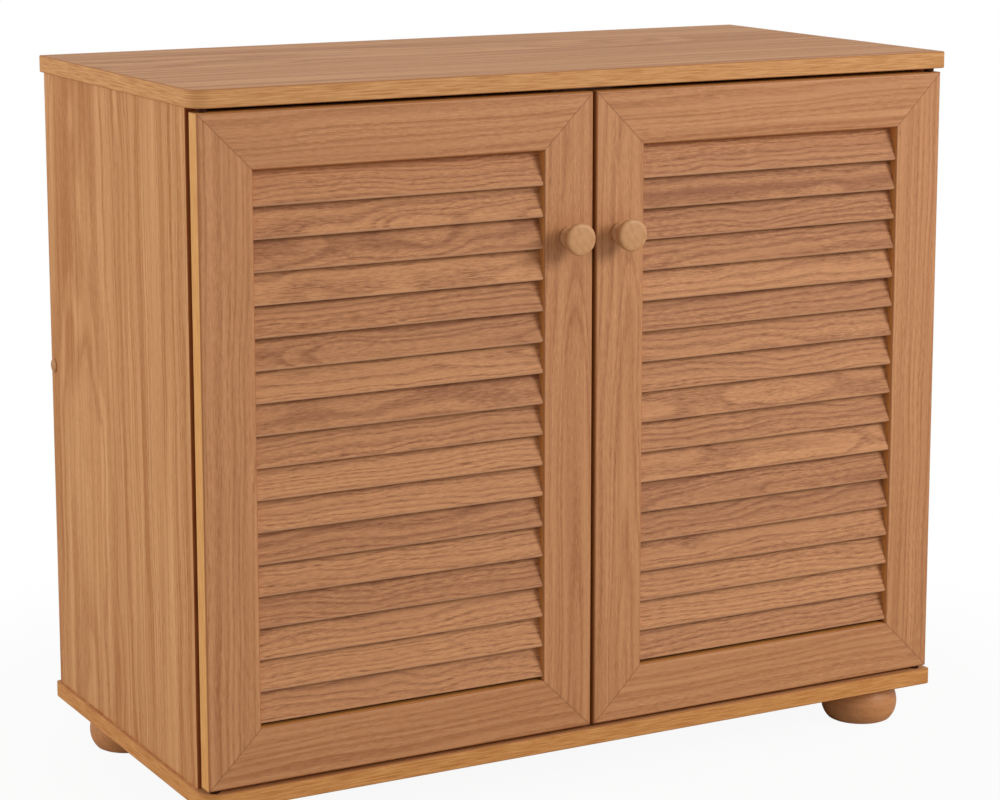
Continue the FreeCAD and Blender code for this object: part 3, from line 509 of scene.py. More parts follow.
def growth_rings(tree, place, wander, figure, ring_width):
    """Late wood, which darkens towards the end of a ring and fades in the next. Rings are circles round the
    trunk's heart, which lies behind the face and leans to it."""
    spot = add(tree, "ShaderNodeVectorMath", [place, wander], operation="ADD")
    spot = add(tree, "ShaderNodeSeparateXYZ", [spot]).outputs
    heart = add(tree, "ShaderNodeSeparateXYZ", [figure]).outputs
    sideways = add(tree, "ShaderNodeMath", [spot["Y"], heart["X"]], operation="SUBTRACT")
    behind = add(tree, "ShaderNodeMath", [spot["X"], heart["Z"], heart["Y"]], operation="MULTIPLY_ADD")
    behind = add(tree, "ShaderNodeMath", [behind, spot["Z"]], operation="ADD")
    flat = add(tree, "ShaderNodeCombineXYZ", [sideways, behind, 0.0])
    radius = add(tree, "ShaderNodeVectorMath", [flat], operation="LENGTH").outputs["Value"]
    uneven = add(tree, "ShaderNodeTexNoise", {"W": radius, "Scale": 1.0 / UNEVEN_RUN, "Detail": 1.0},
                 noise_dimensions="1D")
    rings = add(tree, "ShaderNodeMath", [radius, 1.0 / ring_width], operation="MULTIPLY")
    rings = add(tree, "ShaderNodeMath", [uneven, UNEVEN_RINGS, rings], operation="MULTIPLY_ADD")
    rings = add(tree, "ShaderNodeMath", [rings], operation="FRACT")
    rise = add(tree, "ShaderNodeMapRange", [rings, LATE_START, 1.0, 0.0, 1.0],
               interpolation_type="SMOOTHSTEP")
    fall = add(tree, "ShaderNodeMapRange", [rings, 0.0, LATE_END, 1.0, 0.0],
               interpolation_type="SMOOTHSTEP")
    return add(tree, "ShaderNodeMath", [rise, fall], operation="MAXIMUM")


def wood_tone(tree, place, figure, wood, shift):
    """Growth rings, streaks, fibres and pores. Returns how dark the wood is, and where its pores are."""
    shifted = add(tree, "ShaderNodeVectorMath", [place, shift], operation="ADD")
    wander = grain_blots(tree, shifted, (wood.wander_length, WANDER_WIDTH, WANDER_WIDTH),
                         detail=1.4, roughness=0.55)
    wander = add(tree, "ShaderNodeVectorMath", [wander.outputs["Color"], (MIDDLE,) * 3],
                 operation="SUBTRACT")
    wander = add(tree, "ShaderNodeVectorMath", {0: wander, "Scale": wood.wander}, operation="SCALE")
    ring = growth_rings(tree, place, wander, figure, wood.ring_width)
    streak = grain_blots(tree, shifted, (STREAK_LENGTH, wood.streak_width, wood.streak_width),
                         detail=4.0, roughness=0.62)
    fibre = grain_blots(tree, shifted, (FIBRE_LENGTH, wood.fibre_width, wood.fibre_width),
                        detail=3.0, roughness=0.65)
    patch = grain_blots(tree, shifted, PATCH, detail=2.0)
    patch = add(tree, "ShaderNodeMapRange", [patch, *PATCH_RANGE, *PATCH_STRENGTH])
    pore = grain_blots(tree, shifted, PORE, detail=1.0)
    pore = add(tree, "ShaderNodeMapRange", [pore, *PORE_RANGE, 0.0, 1.0])
    crowd = add(tree, "ShaderNodeMath", [ring, 1.0 - EARLY_PORES, EARLY_PORES], operation="MULTIPLY_ADD")
    pore = add(tree, "ShaderNodeMath", [pore, crowd], operation="MULTIPLY")

    spread = add(tree, "ShaderNodeMapRange", [streak, *STREAK_RANGE, 0.0, 1.0])
    clear = MIDDLE * (1.0 - wood.streak_strength)
    dark = add(tree, "ShaderNodeMath", [spread, wood.streak_strength, clear], operation="MULTIPLY_ADD")
    lifted = add(tree, "ShaderNodeMath", [ring, LATE_MEAN], operation="SUBTRACT")
    dark = add(tree, "ShaderNodeMath", [lifted, wood.ring_strength, dark], operation="MULTIPLY_ADD")
    lifted = add(tree, "ShaderNodeMath", [fibre, MIDDLE], operation="SUBTRACT")
    lifted = add(tree, "ShaderNodeMath", [lifted, patch], operation="MULTIPLY")
    dark = add(tree, "ShaderNodeMath", [lifted, wood.fibre_strength, dark], operation="MULTIPLY_ADD",
               use_clamp=True)
    return dark, pore


def wood_colour(tree, dark, pore, wood):
    """The wood's colour, from light to dark, with its pores."""
    colour = add(tree, "ShaderNodeMix", [dark, wood.light, wood.dark], data_type="RGBA")
    strength = add(tree, "ShaderNodeMath", [pore, wood.pore_strength], operation="MULTIPLY")
    return add(tree, "ShaderNodeMix", [strength, colour, wood.pore], data_type="RGBA")


def band_mix(tree, colour, place, facing, light, dark, seam):
    """Edge band on every side of a board that doesn't face through its thickness, with grain along it.
    The eased corner between band and face gets a darker colour, which is painted shade."""
    spot = add(tree, "ShaderNodeSeparateXYZ", [place]).outputs
    run = add(tree, "ShaderNodeMath", [spot["X"], spot["Y"]], operation="ADD")
    strip = add(tree, "ShaderNodeCombineXYZ", [run, spot["Z"], 0.0])
    grain = grain_blots(tree, strip, BAND_GRAIN, detail=5.0, roughness=0.7)
    grain = add(tree, "ShaderNodeMapRange", [grain, *BAND_RANGE, 0.0, 1.0])
    band = add(tree, "ShaderNodeMix", [grain, light, dark], data_type="RGBA")
    through = add(tree, "ShaderNodeSeparateXYZ", [facing]).outputs["Z"]
    through = add(tree, "ShaderNodeMath", [through], operation="ABSOLUTE")
    is_eased = add(tree, "ShaderNodeMapRange", [through, *EASED_FACING, 0.0, 1.0])
    # painted shade: the eased corner is painted darker, as it looks in shade
    eased = add(tree, "ShaderNodeMix", [is_eased, colour, seam], data_type="RGBA")
    is_band = add(tree, "ShaderNodeMapRange", [through, *EDGE_FACING, 0.0, 1.0])
    return add(tree, "ShaderNodeMix", [is_band, eased, band], data_type="RGBA")


def mitre_line(tree, place, inwards, half_length, half_width, wood):
    """How much the fine line in a member's mitres shows. A mitre is as far from the end as from the
    outer edge."""
    spot = add(tree, "ShaderNodeSeparateXYZ", [place]).outputs
    to_end = add(tree, "ShaderNodeMath", [spot["X"]], operation="ABSOLUTE")
    to_end = add(tree, "ShaderNodeMath", [half_length, to_end], operation="SUBTRACT")
    to_edge = add(tree, "ShaderNodeMath", [spot["Y"], inwards, half_width], operation="MULTIPLY_ADD")
    gap = add(tree, "ShaderNodeMath", [to_end, to_edge], operation="SUBTRACT")
    width = wood.joint_width * math.sqrt(2)
    return add(tree, "ShaderNodeMapRange", [gap, 0.0, width, wood.joint_strength, 0.0])


def finish_wood(tree, shader, colour, dark, pore, roughness=0.52, relief=0.12):
    """Lacquered surface: pores are a little duller and lower than the rest."""
    rough = add(tree, "ShaderNodeMath", [pore, PORE_DULLNESS, roughness], operation="MULTIPLY_ADD")
    height = add(tree, "ShaderNodeMath", [dark, -DARK_DEPTH, 1.0], operation="MULTIPLY_ADD")
    height = add(tree, "ShaderNodeMath", [height, pore], operation="SUBTRACT")
    bump = add(tree, "ShaderNodeBump", {"Strength": relief, "Distance": RELIEF_HEIGHT, "Height": height})
    feed(tree, shader, {"Base Color": colour, "Roughness": rough, "Normal": bump})


# ---------------------------------------------------------------- metal, plastic and hardboard

CLOUD = 1.1 * MM     # size of the cloudy differences in plating


def plated(name, base_colour, roughness):
    """Plated steel with fine cloudy differences in colour and gloss, and a slight unevenness."""
    material, tree, shader = new_material(name, {"Metallic": 1.0})
    place = add(tree, "ShaderNodeTexCoord").outputs["Object"]
    cloud = grain_blots(tree, place, (CLOUD,) * 3, detail=4.0, roughness=0.6)
    rough = add(tree, "ShaderNodeMapRange", [cloud, *CLOUD_RANGE, roughness - 0.08, roughness + 0.12])
    colour = add(tree, "ShaderNodeMix", [cloud, base_colour, shaded(base_colour, 0.82)], data_type="RGBA")
    bump = add(tree, "ShaderNodeBump", {"Strength": 0.1, "Distance": 0.1 * MM, "Height": cloud})
    feed(tree, shader, {"Base Color": colour, "Roughness": rough, "Normal": bump})
    return material


def mottled(name, light, dark, grain, roughness):
    """A fine two-colour mottle, with a grain size along X, Y and Z, and a relief of the same pattern."""
    material, tree, shader = varnished(name, gloss=0.35)
    place = add(tree, "ShaderNodeTexCoord").outputs["Object"]
    speck = grain_blots(tree, place, grain, detail=5.0, roughness=0.65)
    depth = add(tree, "ShaderNodeMapRange", [speck, *SPECK_RANGE, 0.0, 1.0])
    colour = add(tree, "ShaderNodeMix", [depth, light, dark], data_type="RGBA")
    bump = add(tree, "ShaderNodeBump", {"Strength": 0.15, "Distance": 0.2 * MM, "Height": speck})
    feed(tree, shader, {"Base Color": colour, "Roughness": roughness, "Normal": bump})
    return material


# ---------------------------------------------------------------- settings

def length(name, description, default):
    return FloatProperty(name=name, description=description, default=default, unit="LENGTH",
                         subtype="DISTANCE")


def tint(name, description, hex_colour):
    return FloatVectorProperty(name=name, description=description, default=linear(hex_colour), size=4,
                               subtype="COLOR", min=0.0, max=1.0)


def share(name, description, default):
    return FloatProperty(name=name, description=description, default=default, min=0.0, max=4.0,
                         subtype="FACTOR")


def power(name, description, default):
    return FloatProperty(name=name, description=description, default=default, min=0.0, unit="POWER")


def kind_of_wood(palest, darkest, deepest, rings, pores, streaks=0.4, fibres=0.5,
                 ring=6, streak=5, fibre=1.5, stray=8, stray_length=200):
    """The settings that every wood has, as a base class: three colours, how much its features show, and
    their sizes in millimetres."""
    class Wood:
        light: tint("Light grain", "Palest colour of the grain", palest)
        dark: tint("Dark grain", "Darkest colour of the grain", darkest)
        pore: tint("Pores", "Colour of the pores", deepest)
        ring_width: length("Ring width", "Spacing of the growth rings", ring * MM)
        streak_width: length("Streak width", "Width of the streaks", streak * MM)
        fibre_width: length("Fibre width", "Width of the fibres, a few times the real one, to show at all",
                            fibre * MM)
        wander: length("Wander", "How far the grain strays sideways", stray * MM)
        wander_length: length("Wander length", "How far along the grain one stray lasts", stray_length * MM)
        ring_strength: share("Ring strength", "How much the rings darken the wood", rings)
        streak_strength: share("Streak strength", "How much the streaks darken the wood", streaks)
        fibre_strength: share("Fibre strength", "How much the fibres darken the wood", fibres)
        pore_strength: share("Pore strength", "How much the pores show", pores)
    return Wood


PrintedOak = kind_of_wood("D29C6A", "AE7243", "8A5732", rings=0.34, pores=0.45, streaks=0.9, fibres=0.9,
                          ring=9, streak=11, stray=20, stray_length=140)
FrameOak = kind_of_wood("C98F60", "A1673C", "875432", rings=0.32, pores=0.45, streaks=0.6, fibres=1.2,
                        fibre=1.2, stray=14, stray_length=180)
SlatOak = kind_of_wood("C88D5C", "925A37", "7E4E31", rings=0.36, pores=0.9, fibres=1.55,
                       ring=4.5, streak=3, fibre=1.2, stray=15, stray_length=85)
KnobOak = kind_of_wood("CE9A6A", "AE7748", "8A5738", rings=0.15, pores=0.25)
FootBeech = kind_of_wood("CF9059", "A96C3E", "6F432A", rings=0.12, pores=0.4)


class BoardSettings(PrintedOak, PropertyGroup):
    band_light: tint("Light edge band", "Palest colour of the edge band", "D19B65")
    band_dark: tint("Dark edge band", "Darkest colour of the edge band", "B47A48")
    # painted shade: the base's band is the same band as the top's, painted darker and redder for the shade
    # it stands in
    shaded_base_band_light: tint("Light base band", "Palest colour of the base's edge band", "D2965A")
    shaded_base_band_dark: tint("Dark base band", "Darkest colour of the base's edge band", "B3743C")
    # painted shade: the eased corner beside the band is painted darker, as it looks in shade
    seam: tint("Seam", "Colour of the eased edge beside the band", "AD7142")
    # painted shade: the side panels' edges, whose front ones show only in the narrow gap beside the doors,
    # are painted dark reddish brown for the shade there
    inner_shade_light: tint("Light inner band", "Palest colour of the side panels' front edges", "A85F2E")
    inner_shade_dark: tint("Dark inner band", "Darkest colour of the side panels' front edges", "8C4923")


class FrameSettings(FrameOak, PropertyGroup):
    band_light: tint("Light edge", "Palest colour of the frame's outer edges", "DDA35C")
    band_dark: tint("Dark edge", "Darkest colour of the frame's outer edges", "C68643")
    # painted shade: the edges round the slats are the same band as the outer edges, painted redder and
    # darker for the shade they stand in
    inner_shade_light: tint("Light inner edge", "Palest colour of the edges round the slats", "D8944F")
    inner_shade_dark: tint("Dark inner edge", "Darkest colour of the edges round the slats", "C07A3A")
    # painted shade: the edges where the doors meet are the same band, painted dark so the narrow gap
    # between the doors looks shaded
    meeting_shade_light: tint("Light meeting edge", "Palest colour of the edges where the doors meet", "A56A34")
    meeting_shade_dark: tint("Dark meeting edge", "Darkest colour of the edges where the doors meet", "90582A")
    # painted shade: the eased corner beside the band is painted darker, as it looks in shade
    seam: tint("Seam", "Colour of the eased edge beside the band", "A4693C")
    joint: tint("Mitre joint", "Colour of the fine line in the mitres", "7C4B2A")
    joint_width: length("Mitre line", "Width of the fine line on each side of a mitre", 0.7 * MM)
    joint_strength: share("Mitre strength", "How much the line in the mitres shows", 0.75)


class SlatSettings(SlatOak, PropertyGroup):
    thickness: length("Thickness", "Thickness of a slat, which has full round edges", 4 * MM)
    edge_steps: IntProperty(name="Edge steps", description="Facets on each quarter of a round edge",
                            default=5)
    seed: IntProperty(name="Seed", description="Which set of figures the slats get", default=4)
    # painted highlight: the round edges are painted paler, as if they caught the light
    nose_highlight: tint("Nose", "Colour of the highlighted edges", "D6A581")
    nose_highlight_width: length("Nose width", "Highlighted edge along each side of a slat", 1.5 * MM)
    nose_highlight_strength: share("Nose strength", "How much paler the highlighted edges are", 0.5)
    tone_strength: share("Tone strength", "How much one slat differs from the next", 0.35)


class KnobSettings(KnobOak, PropertyGroup):
    radius: length("Radius", "Widest place of the head", 14 * MM)
    face_radius: length("Face radius", "Nearly flat face of the head", 12.2 * MM)
    under_radius: length("Underside radius", "Underside of the head", 11.6 * MM)
    neck_radius: length("Neck radius", "Waist of the knob", 6.6 * MM)
    base_radius: length("Base radius", "Foot of the knob on the stile", 9 * MM)
    base_height: length("Base height", "Thickness of the foot", 2.2 * MM)
    base_easing: length("Base easing", "Chamfer round the foot", 0.4 * MM)
    neck_height: length("Neck height", "Waist above the stile", 7 * MM)
    under_height: length("Underside height", "Underside of the head above the stile", 14 * MM)
    widest_height: length("Widest height", "Widest place above the stile", 20 * MM)
    crown: length("Crown", "Crown of the face", 0.7 * MM)
    tenon_radius: length("Tenon radius", "Tenon in the stile", 4 * MM)


class FootSettings(FootBeech, PropertyGroup):
    radius: length("Radius", "Widest place of a foot", 35.3 * MM)
    widest_drop: length("Widest drop", "Widest place below the base", 20.5 * MM)
    top_radius: length("Top radius", "Foot against the base", 27 * MM)
    sole_radius: length("Sole radius", "Flat sole", 29.5 * MM)
    sole_round: length("Sole rounding", "Small rounding round the sole", 1.2 * MM)


class FittingSettings(PropertyGroup):
    head_radius: length("Screw head", "Radius of a countersunk screw's head", 4 * MM)
    head_rim: length("Screw rim", "Upright rim of a countersunk screw's head", 0.1 * MM)
    shank_radius: length("Screw shank", "Radius of a screw's shank", 2 * MM)
    point: length("Screw point", "Length of a screw's point", 4 * MM)
    cross_arm: length("Cross arm", "Reach of the cross recess", 2.1 * MM)
    cross_width: length("Cross width", "Half the width of the cross recess", 0.45 * MM)
    cross_depth: length("Cross depth", "Depth of the cross recess", 1.5 * MM)
    cap_radius: length("Cap radius", "Domed screw cap", 6.4 * MM)
    cap_dome: length("Cap dome", "Crown of the cap above the panel", 2.9 * MM)
    cap_rim: length("Cap rim", "Upright rim of the cap", 0.8 * MM)
    cap_peg: length("Cap peg", "Radius of the cap's peg", 1.5 * MM)
    cap_peg_length: length("Cap peg length", "Peg in the screw's recess", 1.4 * MM)
    nail_radius: length("Nail head", "Radius of a panel nail's head", 1.9 * MM)
    nail_crown: length("Nail crown", "Height of a panel nail's head", 0.6 * MM)
    nail_depth: length("Nail depth", "How far a nail is modelled into the panel", 1 * MM)
    nail_spacing: length("Nail spacing", "Longest step from nail to nail", 85 * MM)
    catch_width: length("Catch width", "Magnet catch without its screw ears", 42 * MM)
    pan_radius: length("Pan head", "Radius of the catch screws' heads", 3 * MM)
    pan_height: length("Pan height", "Height of the catch screws' heads", 1.9 * MM)
    plate_screw_radius: length("Plate screw", "Radius of the screws in the strike plates", 1.7 * MM)
    zinc: tint("Zinc", "Zinc plated steel", "B9BABA")
    brass: tint("Yellow zinc", "Yellow passivated steel", "C4B48A")
    bronze: tint("Bronzed steel", "Pivot pins", "3A2015")
    cap: tint("Screw cap", "Moulded screw caps", "B9814F")
    catch: tint("Catch", "Moulded magnet catch", "6E4A33")
    magnet: tint("Magnet", "Ferrite", "35322F")
    board_light: tint("Light hardboard", "Palest fibres of the back panel", "A1754F")
    board_dark: tint("Dark hardboard", "Darkest fibres of the back panel", "7F5637")
    beech_light: tint("Light beech", "Palest colour of the dowels", "DDB88C")
    beech_dark: tint("Dark beech", "Darkest colour of the dowels", "BF9463")


class StageSettings(PropertyGroup):
    floor: tint("Floor", "Colour of the floor and backdrop", "D2D2D2")
    key_power: power("Key light", "Power of the soft light from the right, in watts", 65.0)
    side_power: power("Side light", "Power of the soft light from the left, in watts", 31.0)
    ambient: share("Ambient light", "Strength of the light from all round", 0.5)


# ---------------------------------------------------------------- boards and door frames

BOARD_FIGURE = (0.05, 0.12, 0.03)
BOARD_STEP = 0.02                  # sideways, from one board to the next
MEMBER_FIGURE = (0.045, 0.03, 0.03)
MEMBER_STEP = 0.01                 # sideways, from one member of a door to the next
MEETING_FIGURE = (0.008, 0.02, 0.045)
FIRST_MEMBER = 21                  # past the boards' spots in the plank


class CABINET_OT_case_boards(Operator):
    """Printed oak melamine with a golden edge band on top, base, shelf and rail, the base's painted darker
    as shade, and edges in painted shade on the sides
    """
    bl_idname = "cabinet.case_boards"
    bl_label = "Case boards"

    def execute(self, context):
        wood = context.scene.cabinet_boards
        for seed, (node_name, (along, across)) in enumerate(BOARDS.items()):
            material, tree, shader = varnished("Printed oak melamine - " + node_name, gloss=0.08)
            place, facing = grain_place(tree, node_name, along, across)
            figure = moved_figure(BOARD_FIGURE, BOARD_STEP * seed)
            dark, pore = wood_tone(tree, place, figure, wood, plank_spot(seed))
            face = wood_colour(tree, dark, pore, wood)
            # painted shade: the side panels' edges and the base's band take their shaded colours, and every
            # eased corner its painted shade
            if node_name.startswith("side"):
                edges = (wood.inner_shade_light, wood.inner_shade_dark, wood.inner_shade_dark)
            elif node_name == "base_panel":
                edges = (wood.shaded_base_band_light, wood.shaded_base_band_dark, wood.seam)
            else:
                edges = (wood.band_light, wood.band_dark, wood.seam)
            finish_wood(tree, shader, band_mix(tree, face, place, facing, *edges), dark, pore)
            give(node_name, material)
        return {"FINISHED"}


class CABINET_OT_door_frames(Operator):
    """Oak stiles and rails with golden outer edges, edges in painted shade round the slats and where the
    doors meet, and a fine line in each mitre
    """
    bl_idname = "cabinet.door_frames"
    bl_label = "Door frames"

    def execute(self, context):
        seed = FIRST_MEMBER
        for side in DOORS:
            corners = [corner for name in FRAME_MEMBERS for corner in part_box(f"{side}_{name}")]
            door_middle = sum(span(corners), Vector()) / 2
            for name in FRAME_MEMBERS:
                self.dress(context.scene.cabinet_frames, side, name, door_middle, seed)
                seed += 1
        return {"FINISHED"}

    def dress(self, wood, side, name, door_middle, seed):
        """Finishes one stile or rail."""
        node_name = f"{side}_{name}"
        along, across = FRAME_MEMBERS[name]
        low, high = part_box(node_name)
        half_length = (high - low).dot(UNIT[along]) / 2
        half_width = (high - low).dot(UNIT[across]) / 2
        inwards = math.copysign(1.0, (door_middle - (low + high) / 2).dot(UNIT[across]))
        # painted shade: the meeting stile's outer edge, where the doors meet, gets the dark meeting colours
        if name == "stile_inner":
            figure = MEETING_FIGURE
            outer_light, outer_dark = wood.meeting_shade_light, wood.meeting_shade_dark
        else:
            figure = moved_figure(MEMBER_FIGURE, MEMBER_STEP * (seed % len(FRAME_MEMBERS)))
            outer_light, outer_dark = wood.band_light, wood.band_dark

        material, tree, shader = varnished("Oak veneer, lacquered - " + node_name, gloss=0.3)
        place, facing = grain_place(tree, node_name, along, across)
        dark, pore = wood_tone(tree, place, figure, wood, plank_spot(seed))
        face = wood_colour(tree, dark, pore, wood)
        # painted shade: edges that face the slats get the redder, darker inner colours
        look = add(tree, "ShaderNodeSeparateXYZ", [facing]).outputs
        is_inner = add(tree, "ShaderNodeMath", [look["Y"], inwards, 0.5], operation="MULTIPLY_ADD",
                       use_clamp=True)
        edge_light = add(tree, "ShaderNodeMix", [is_inner, outer_light, wood.inner_shade_light], data_type="RGBA")
        edge_dark = add(tree, "ShaderNodeMix", [is_inner, outer_dark, wood.inner_shade_dark], data_type="RGBA")
        banded = band_mix(tree, face, place, facing, edge_light, edge_dark, wood.seam)
        line = mitre_line(tree, place, inwards, half_length, half_width, wood)
        joined = add(tree, "ShaderNodeMix", [line, banded, wood.joint], data_type="RGBA")
        finish_wood(tree, shader, joined, dark, pore)
        give(node_name, material)


# ---------------------------------------------------------------- slats

# share of the thickness: a hair under half, because exactly half leaves edges of no length
ROUND_EDGE = 0.499


def slat_tree():
    """A row of tilted boards with round edges, each with its own place in the tree's figure."""
    tree, size = new_growth("Louvre slats", (
        ("Slats", "Int"), ("Pitch", "Float"), ("Lowest slat", "Vector"), ("Length", "Float"),
        ("Width", "Float"), ("Thickness", "Float"), ("Tilt", "Float"), ("Edge steps", "Int"),
    ))

    climb = add(tree, "ShaderNodeCombineXYZ", [0.0, 0.0, size["Pitch"]])
    row = add(tree, "GeometryNodeMeshLine",
              {"Count": size["Slats"], "Start Location": size["Lowest slat"], "Offset": climb},
              mode="OFFSET")
    ends = []
    for side in (-0.5, 0.5):
        reach = add(tree, "ShaderNodeMath", [size["Length"], side], operation="MULTIPLY")
        ends.append(add(tree, "ShaderNodeCombineXYZ", [reach, 0.0, 0.0]))
    path = add(tree, "GeometryNodeCurvePrimitiveLine", ends)
    section = add(tree, "GeometryNodeCurvePrimitiveQuadrilateral",
                  {"Width": size["Thickness"], "Height": size["Width"]}, mode="RECTANGLE")
    round_edge = add(tree, "ShaderNodeMath", [size["Thickness"], ROUND_EDGE], operation="MULTIPLY")
    section = add(tree, "GeometryNodeFilletCurve",
                  {"Curve": section, "Count": size["Edge steps"], "Radius": round_edge}, mode="POLY")
    board = add(tree, "GeometryNodeCurveToMesh",
                {"Curve": path, "Profile Curve": section, "Fill Caps": True})

    # only the narrow faces of the round edges are smooth, not the two wide ones or the ends
    area = add(tree, "GeometryNodeInputMeshFaceArea")
    largest = add(tree, "ShaderNodeMath", [size["Length"], size["Thickness"]], operation="MULTIPLY")
    narrow = add(tree, "FunctionNodeCompare", [area, largest], data_type="FLOAT", operation="LESS_THAN")
    facing = add(tree, "ShaderNodeSeparateXYZ", [add(tree, "GeometryNodeInputNormal")]).outputs
    endwise = add(tree, "ShaderNodeMath", [facing["X"]], operation="ABSOLUTE")
    along_side = add(tree, "FunctionNodeCompare", [endwise, 0.5], data_type="FLOAT", operation="LESS_THAN")
    is_round = add(tree, "FunctionNodeBooleanMath", [narrow, along_side], operation="AND")
    board = add(tree, "GeometryNodeSetShadeSmooth", {0: board, "Shade Smooth": is_round})
    board = keep_grain(tree, board)
    lean = add(tree, "ShaderNodeCombineXYZ", [size["Tilt"], 0.0, 0.0])
    board = add(tree, "GeometryNodeTransform", {"Geometry": board, "Rotation": lean})
    copies = add(tree, "GeometryNodeInstanceOnPoints", {"Points": row, "Instance": board})
    return end_growth(tree, size, copies)


class CABINET_OT_slats(Operator):
    """Seventeen tilted slats in each door, each cut from another part of the plank"""
    bl_idname = "cabinet.slats"
    bl_label = "Slats"

    def execute(self, context):
        wood = context.scene.cabinet_slats
        low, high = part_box("left_slat_01")
        run = high.y - low.y - wood.thickness
        rise = high.z - low.z - wood.thickness
        finish = self.lacquered_oak(wood, math.hypot(run, rise) / 2)
        growth = slat_tree()
        for number, side in enumerate(DOORS):
            names = sorted(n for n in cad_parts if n.startswith(f"{side}_slat_"))
            low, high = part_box(names[0])
            sizes = {
                "Slats": len(names),
                "Pitch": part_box(names[1])[0].z - low.z,
                "Lowest slat": (low + high) / 2,
                "Length": high.x - low.x,
                "Width": math.hypot(run, rise) + wood.thickness,
                "Thickness": wood.thickness,
                "Tilt": -math.atan2(run, rise),
                "Edge steps": wood.edge_steps,
                "Seed": wood.seed + number,
                "Finish": finish,
            }
            mesh = grow(growth, bpy.data.meshes.new("row"), sizes)
            new_piece(f"{side}_slats", mesh, f"{side}_door", names)
        return {"FINISHED"}

    def lacquered_oak(self, wood, half_width):
        """Oak in another tone on each slat, with a painted highlight along its round edges."""
        material, tree, shader = varnished("Oak slats, lacquered", gloss=0.18)
        place, figure, tone, far = own_grain(tree)
        dark, pore = wood_tone(tree, place, figure, wood, far)
        shade = add(tree, "ShaderNodeMath", [tone, MIDDLE], operation="SUBTRACT")
        dark = add(tree, "ShaderNodeMath", [shade, wood.tone_strength, dark], operation="MULTIPLY_ADD",
                   use_clamp=True)
        # painted highlight: a paler colour along both round edges of each slat
        across = add(tree, "ShaderNodeSeparateXYZ", [place]).outputs["Y"]
        across = add(tree, "ShaderNodeMath", [across], operation="ABSOLUTE")
        nose_highlight = add(tree, "ShaderNodeMapRange",
                   [across, half_width, half_width + wood.nose_highlight_width, 0.0, wood.nose_highlight_strength])
        colour = wood_colour(tree, dark, pore, wood)
        colour = add(tree, "ShaderNodeMix", [nose_highlight, colour, wood.nose_highlight], data_type="RGBA")
        finish_wood(tree, shader, colour, dark, pore)
        return material


# ---------------------------------------------------------------- knobs and feet

KNOB_FIGURE = (0.03, 0.02, 0.05)
KNOB_SPOT = 41                     # past the door frames' spots in the plank
COVE_STEPS = 14                    # facets of a knob's hollow, its underside, its rim and its face
UNDER_STEPS = 6
RIM_STEPS = 8
FACE_STEPS = 6
FOOT_STEPS = 12                    # facets of a foot above and below its widest place


class CABINET_OT_knobs(Operator):
    """A turned knob on each meeting stile, with its tenon"""
    bl_idname = "cabinet.knobs"
    bl_label = "Knobs"

    def execute(self, context):
        knob = context.scene.cabinet_knobs
        for side in DOORS:
            node_name = f"{side}_knob"
            low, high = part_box(node_name)
            middle = Vector(((low.x + high.x) / 2, DOOR_FRONT, (low.z + high.z) / 2))
            mesh = lathe(f"{side}_turned_knob", self.outline(knob, DOOR_FRONT - high.y, DOOR_FRONT - low.y),
                         segments=64)
            forwards = UNIT["Z"].rotation_difference(-UNIT["Y"]).to_matrix().to_4x4()
            mesh.transform(Matrix.Translation(middle) @ forwards)
            material, tree, shader = varnished(f"Turned oak, lacquered - {side}_knob", gloss=0.35)
            place, _ = grain_place(tree, node_name, "Y", "X")
            dark, pore = wood_tone(tree, place, KNOB_FIGURE, knob, plank_spot(KNOB_SPOT))
            finish_wood(tree, shader, wood_colour(tree, dark, pore, knob), dark, pore, roughness=0.42)
            new_piece(f"{side}_turned_knob", mesh, f"{side}_door", [node_name], material)
        return {"FINISHED"}

    def outline(self, knob, tenon_end, projection):
        """From the tenon's end through the waist to the crowned face. The stile's face is at height 0."""
        foot = (knob.base_radius, knob.base_height)
        waist = (knob.neck_radius, knob.neck_height)
        under = (knob.under_radius, knob.under_height)
        widest = (knob.radius, knob.widest_height)
        face_height = projection - knob.crown
        points = [(0.0, tenon_end), (knob.tenon_radius, tenon_end), (knob.tenon_radius, 0.0),
                  (knob.base_radius - knob.base_easing, 0.0), (knob.base_radius, knob.base_easing)]
        points += cove(foot, waist, under, COVE_STEPS)
        points += upright_arc(widest, under, UNDER_STEPS)[1:]
        points += upright_arc(widest, (knob.face_radius, face_height), RIM_STEPS)[::-1][1:]
        for i in range(1, FACE_STEPS + 1):
            share_out = 1 - i / FACE_STEPS
            points.append((knob.face_radius * share_out, face_height + knob.crown * (1 - share_out ** 2)))
        return points


class CABINET_OT_feet(Operator):
    """Four turned bun feet under the base"""
    bl_idname = "cabinet.feet"
    bl_label = "Feet"

    def execute(self, context):
        foot = context.scene.cabinet_feet
        low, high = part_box("feet")
        widest = (foot.radius, -foot.widest_drop)
        sole = low.z - high.z
        outline = [(0.0, sole), (foot.sole_radius - foot.sole_round, sole)]
        outline += upright_arc(widest, (foot.sole_radius, sole + foot.sole_round * 0.5), FOOT_STEPS)
        outline += upright_arc(widest, (foot.top_radius, 0.0), FOOT_STEPS)[::-1][1:]
        mesh = lathe("foot", outline + [(0.0, 0.0)], segments=72)
        material, tree, shader = varnished("Turned beech feet, stained and lacquered", gloss=0.35)
        place, figure, _, far = own_grain(tree)
        dark, pore = wood_tone(tree, place, figure, foot, far)
        finish_wood(tree, shader, wood_colour(tree, dark, pore, foot), dark, pore, roughness=0.46)
        places = [(far_face(points, UNIT["Z"]), UNIT["Z"]) for points in solids_of("feet")]
        repeat("bun_feet", mesh, places, "carcass", ["feet"], material)
        return {"FINISHED"}


# ---------------------------------------------------------------- fittings

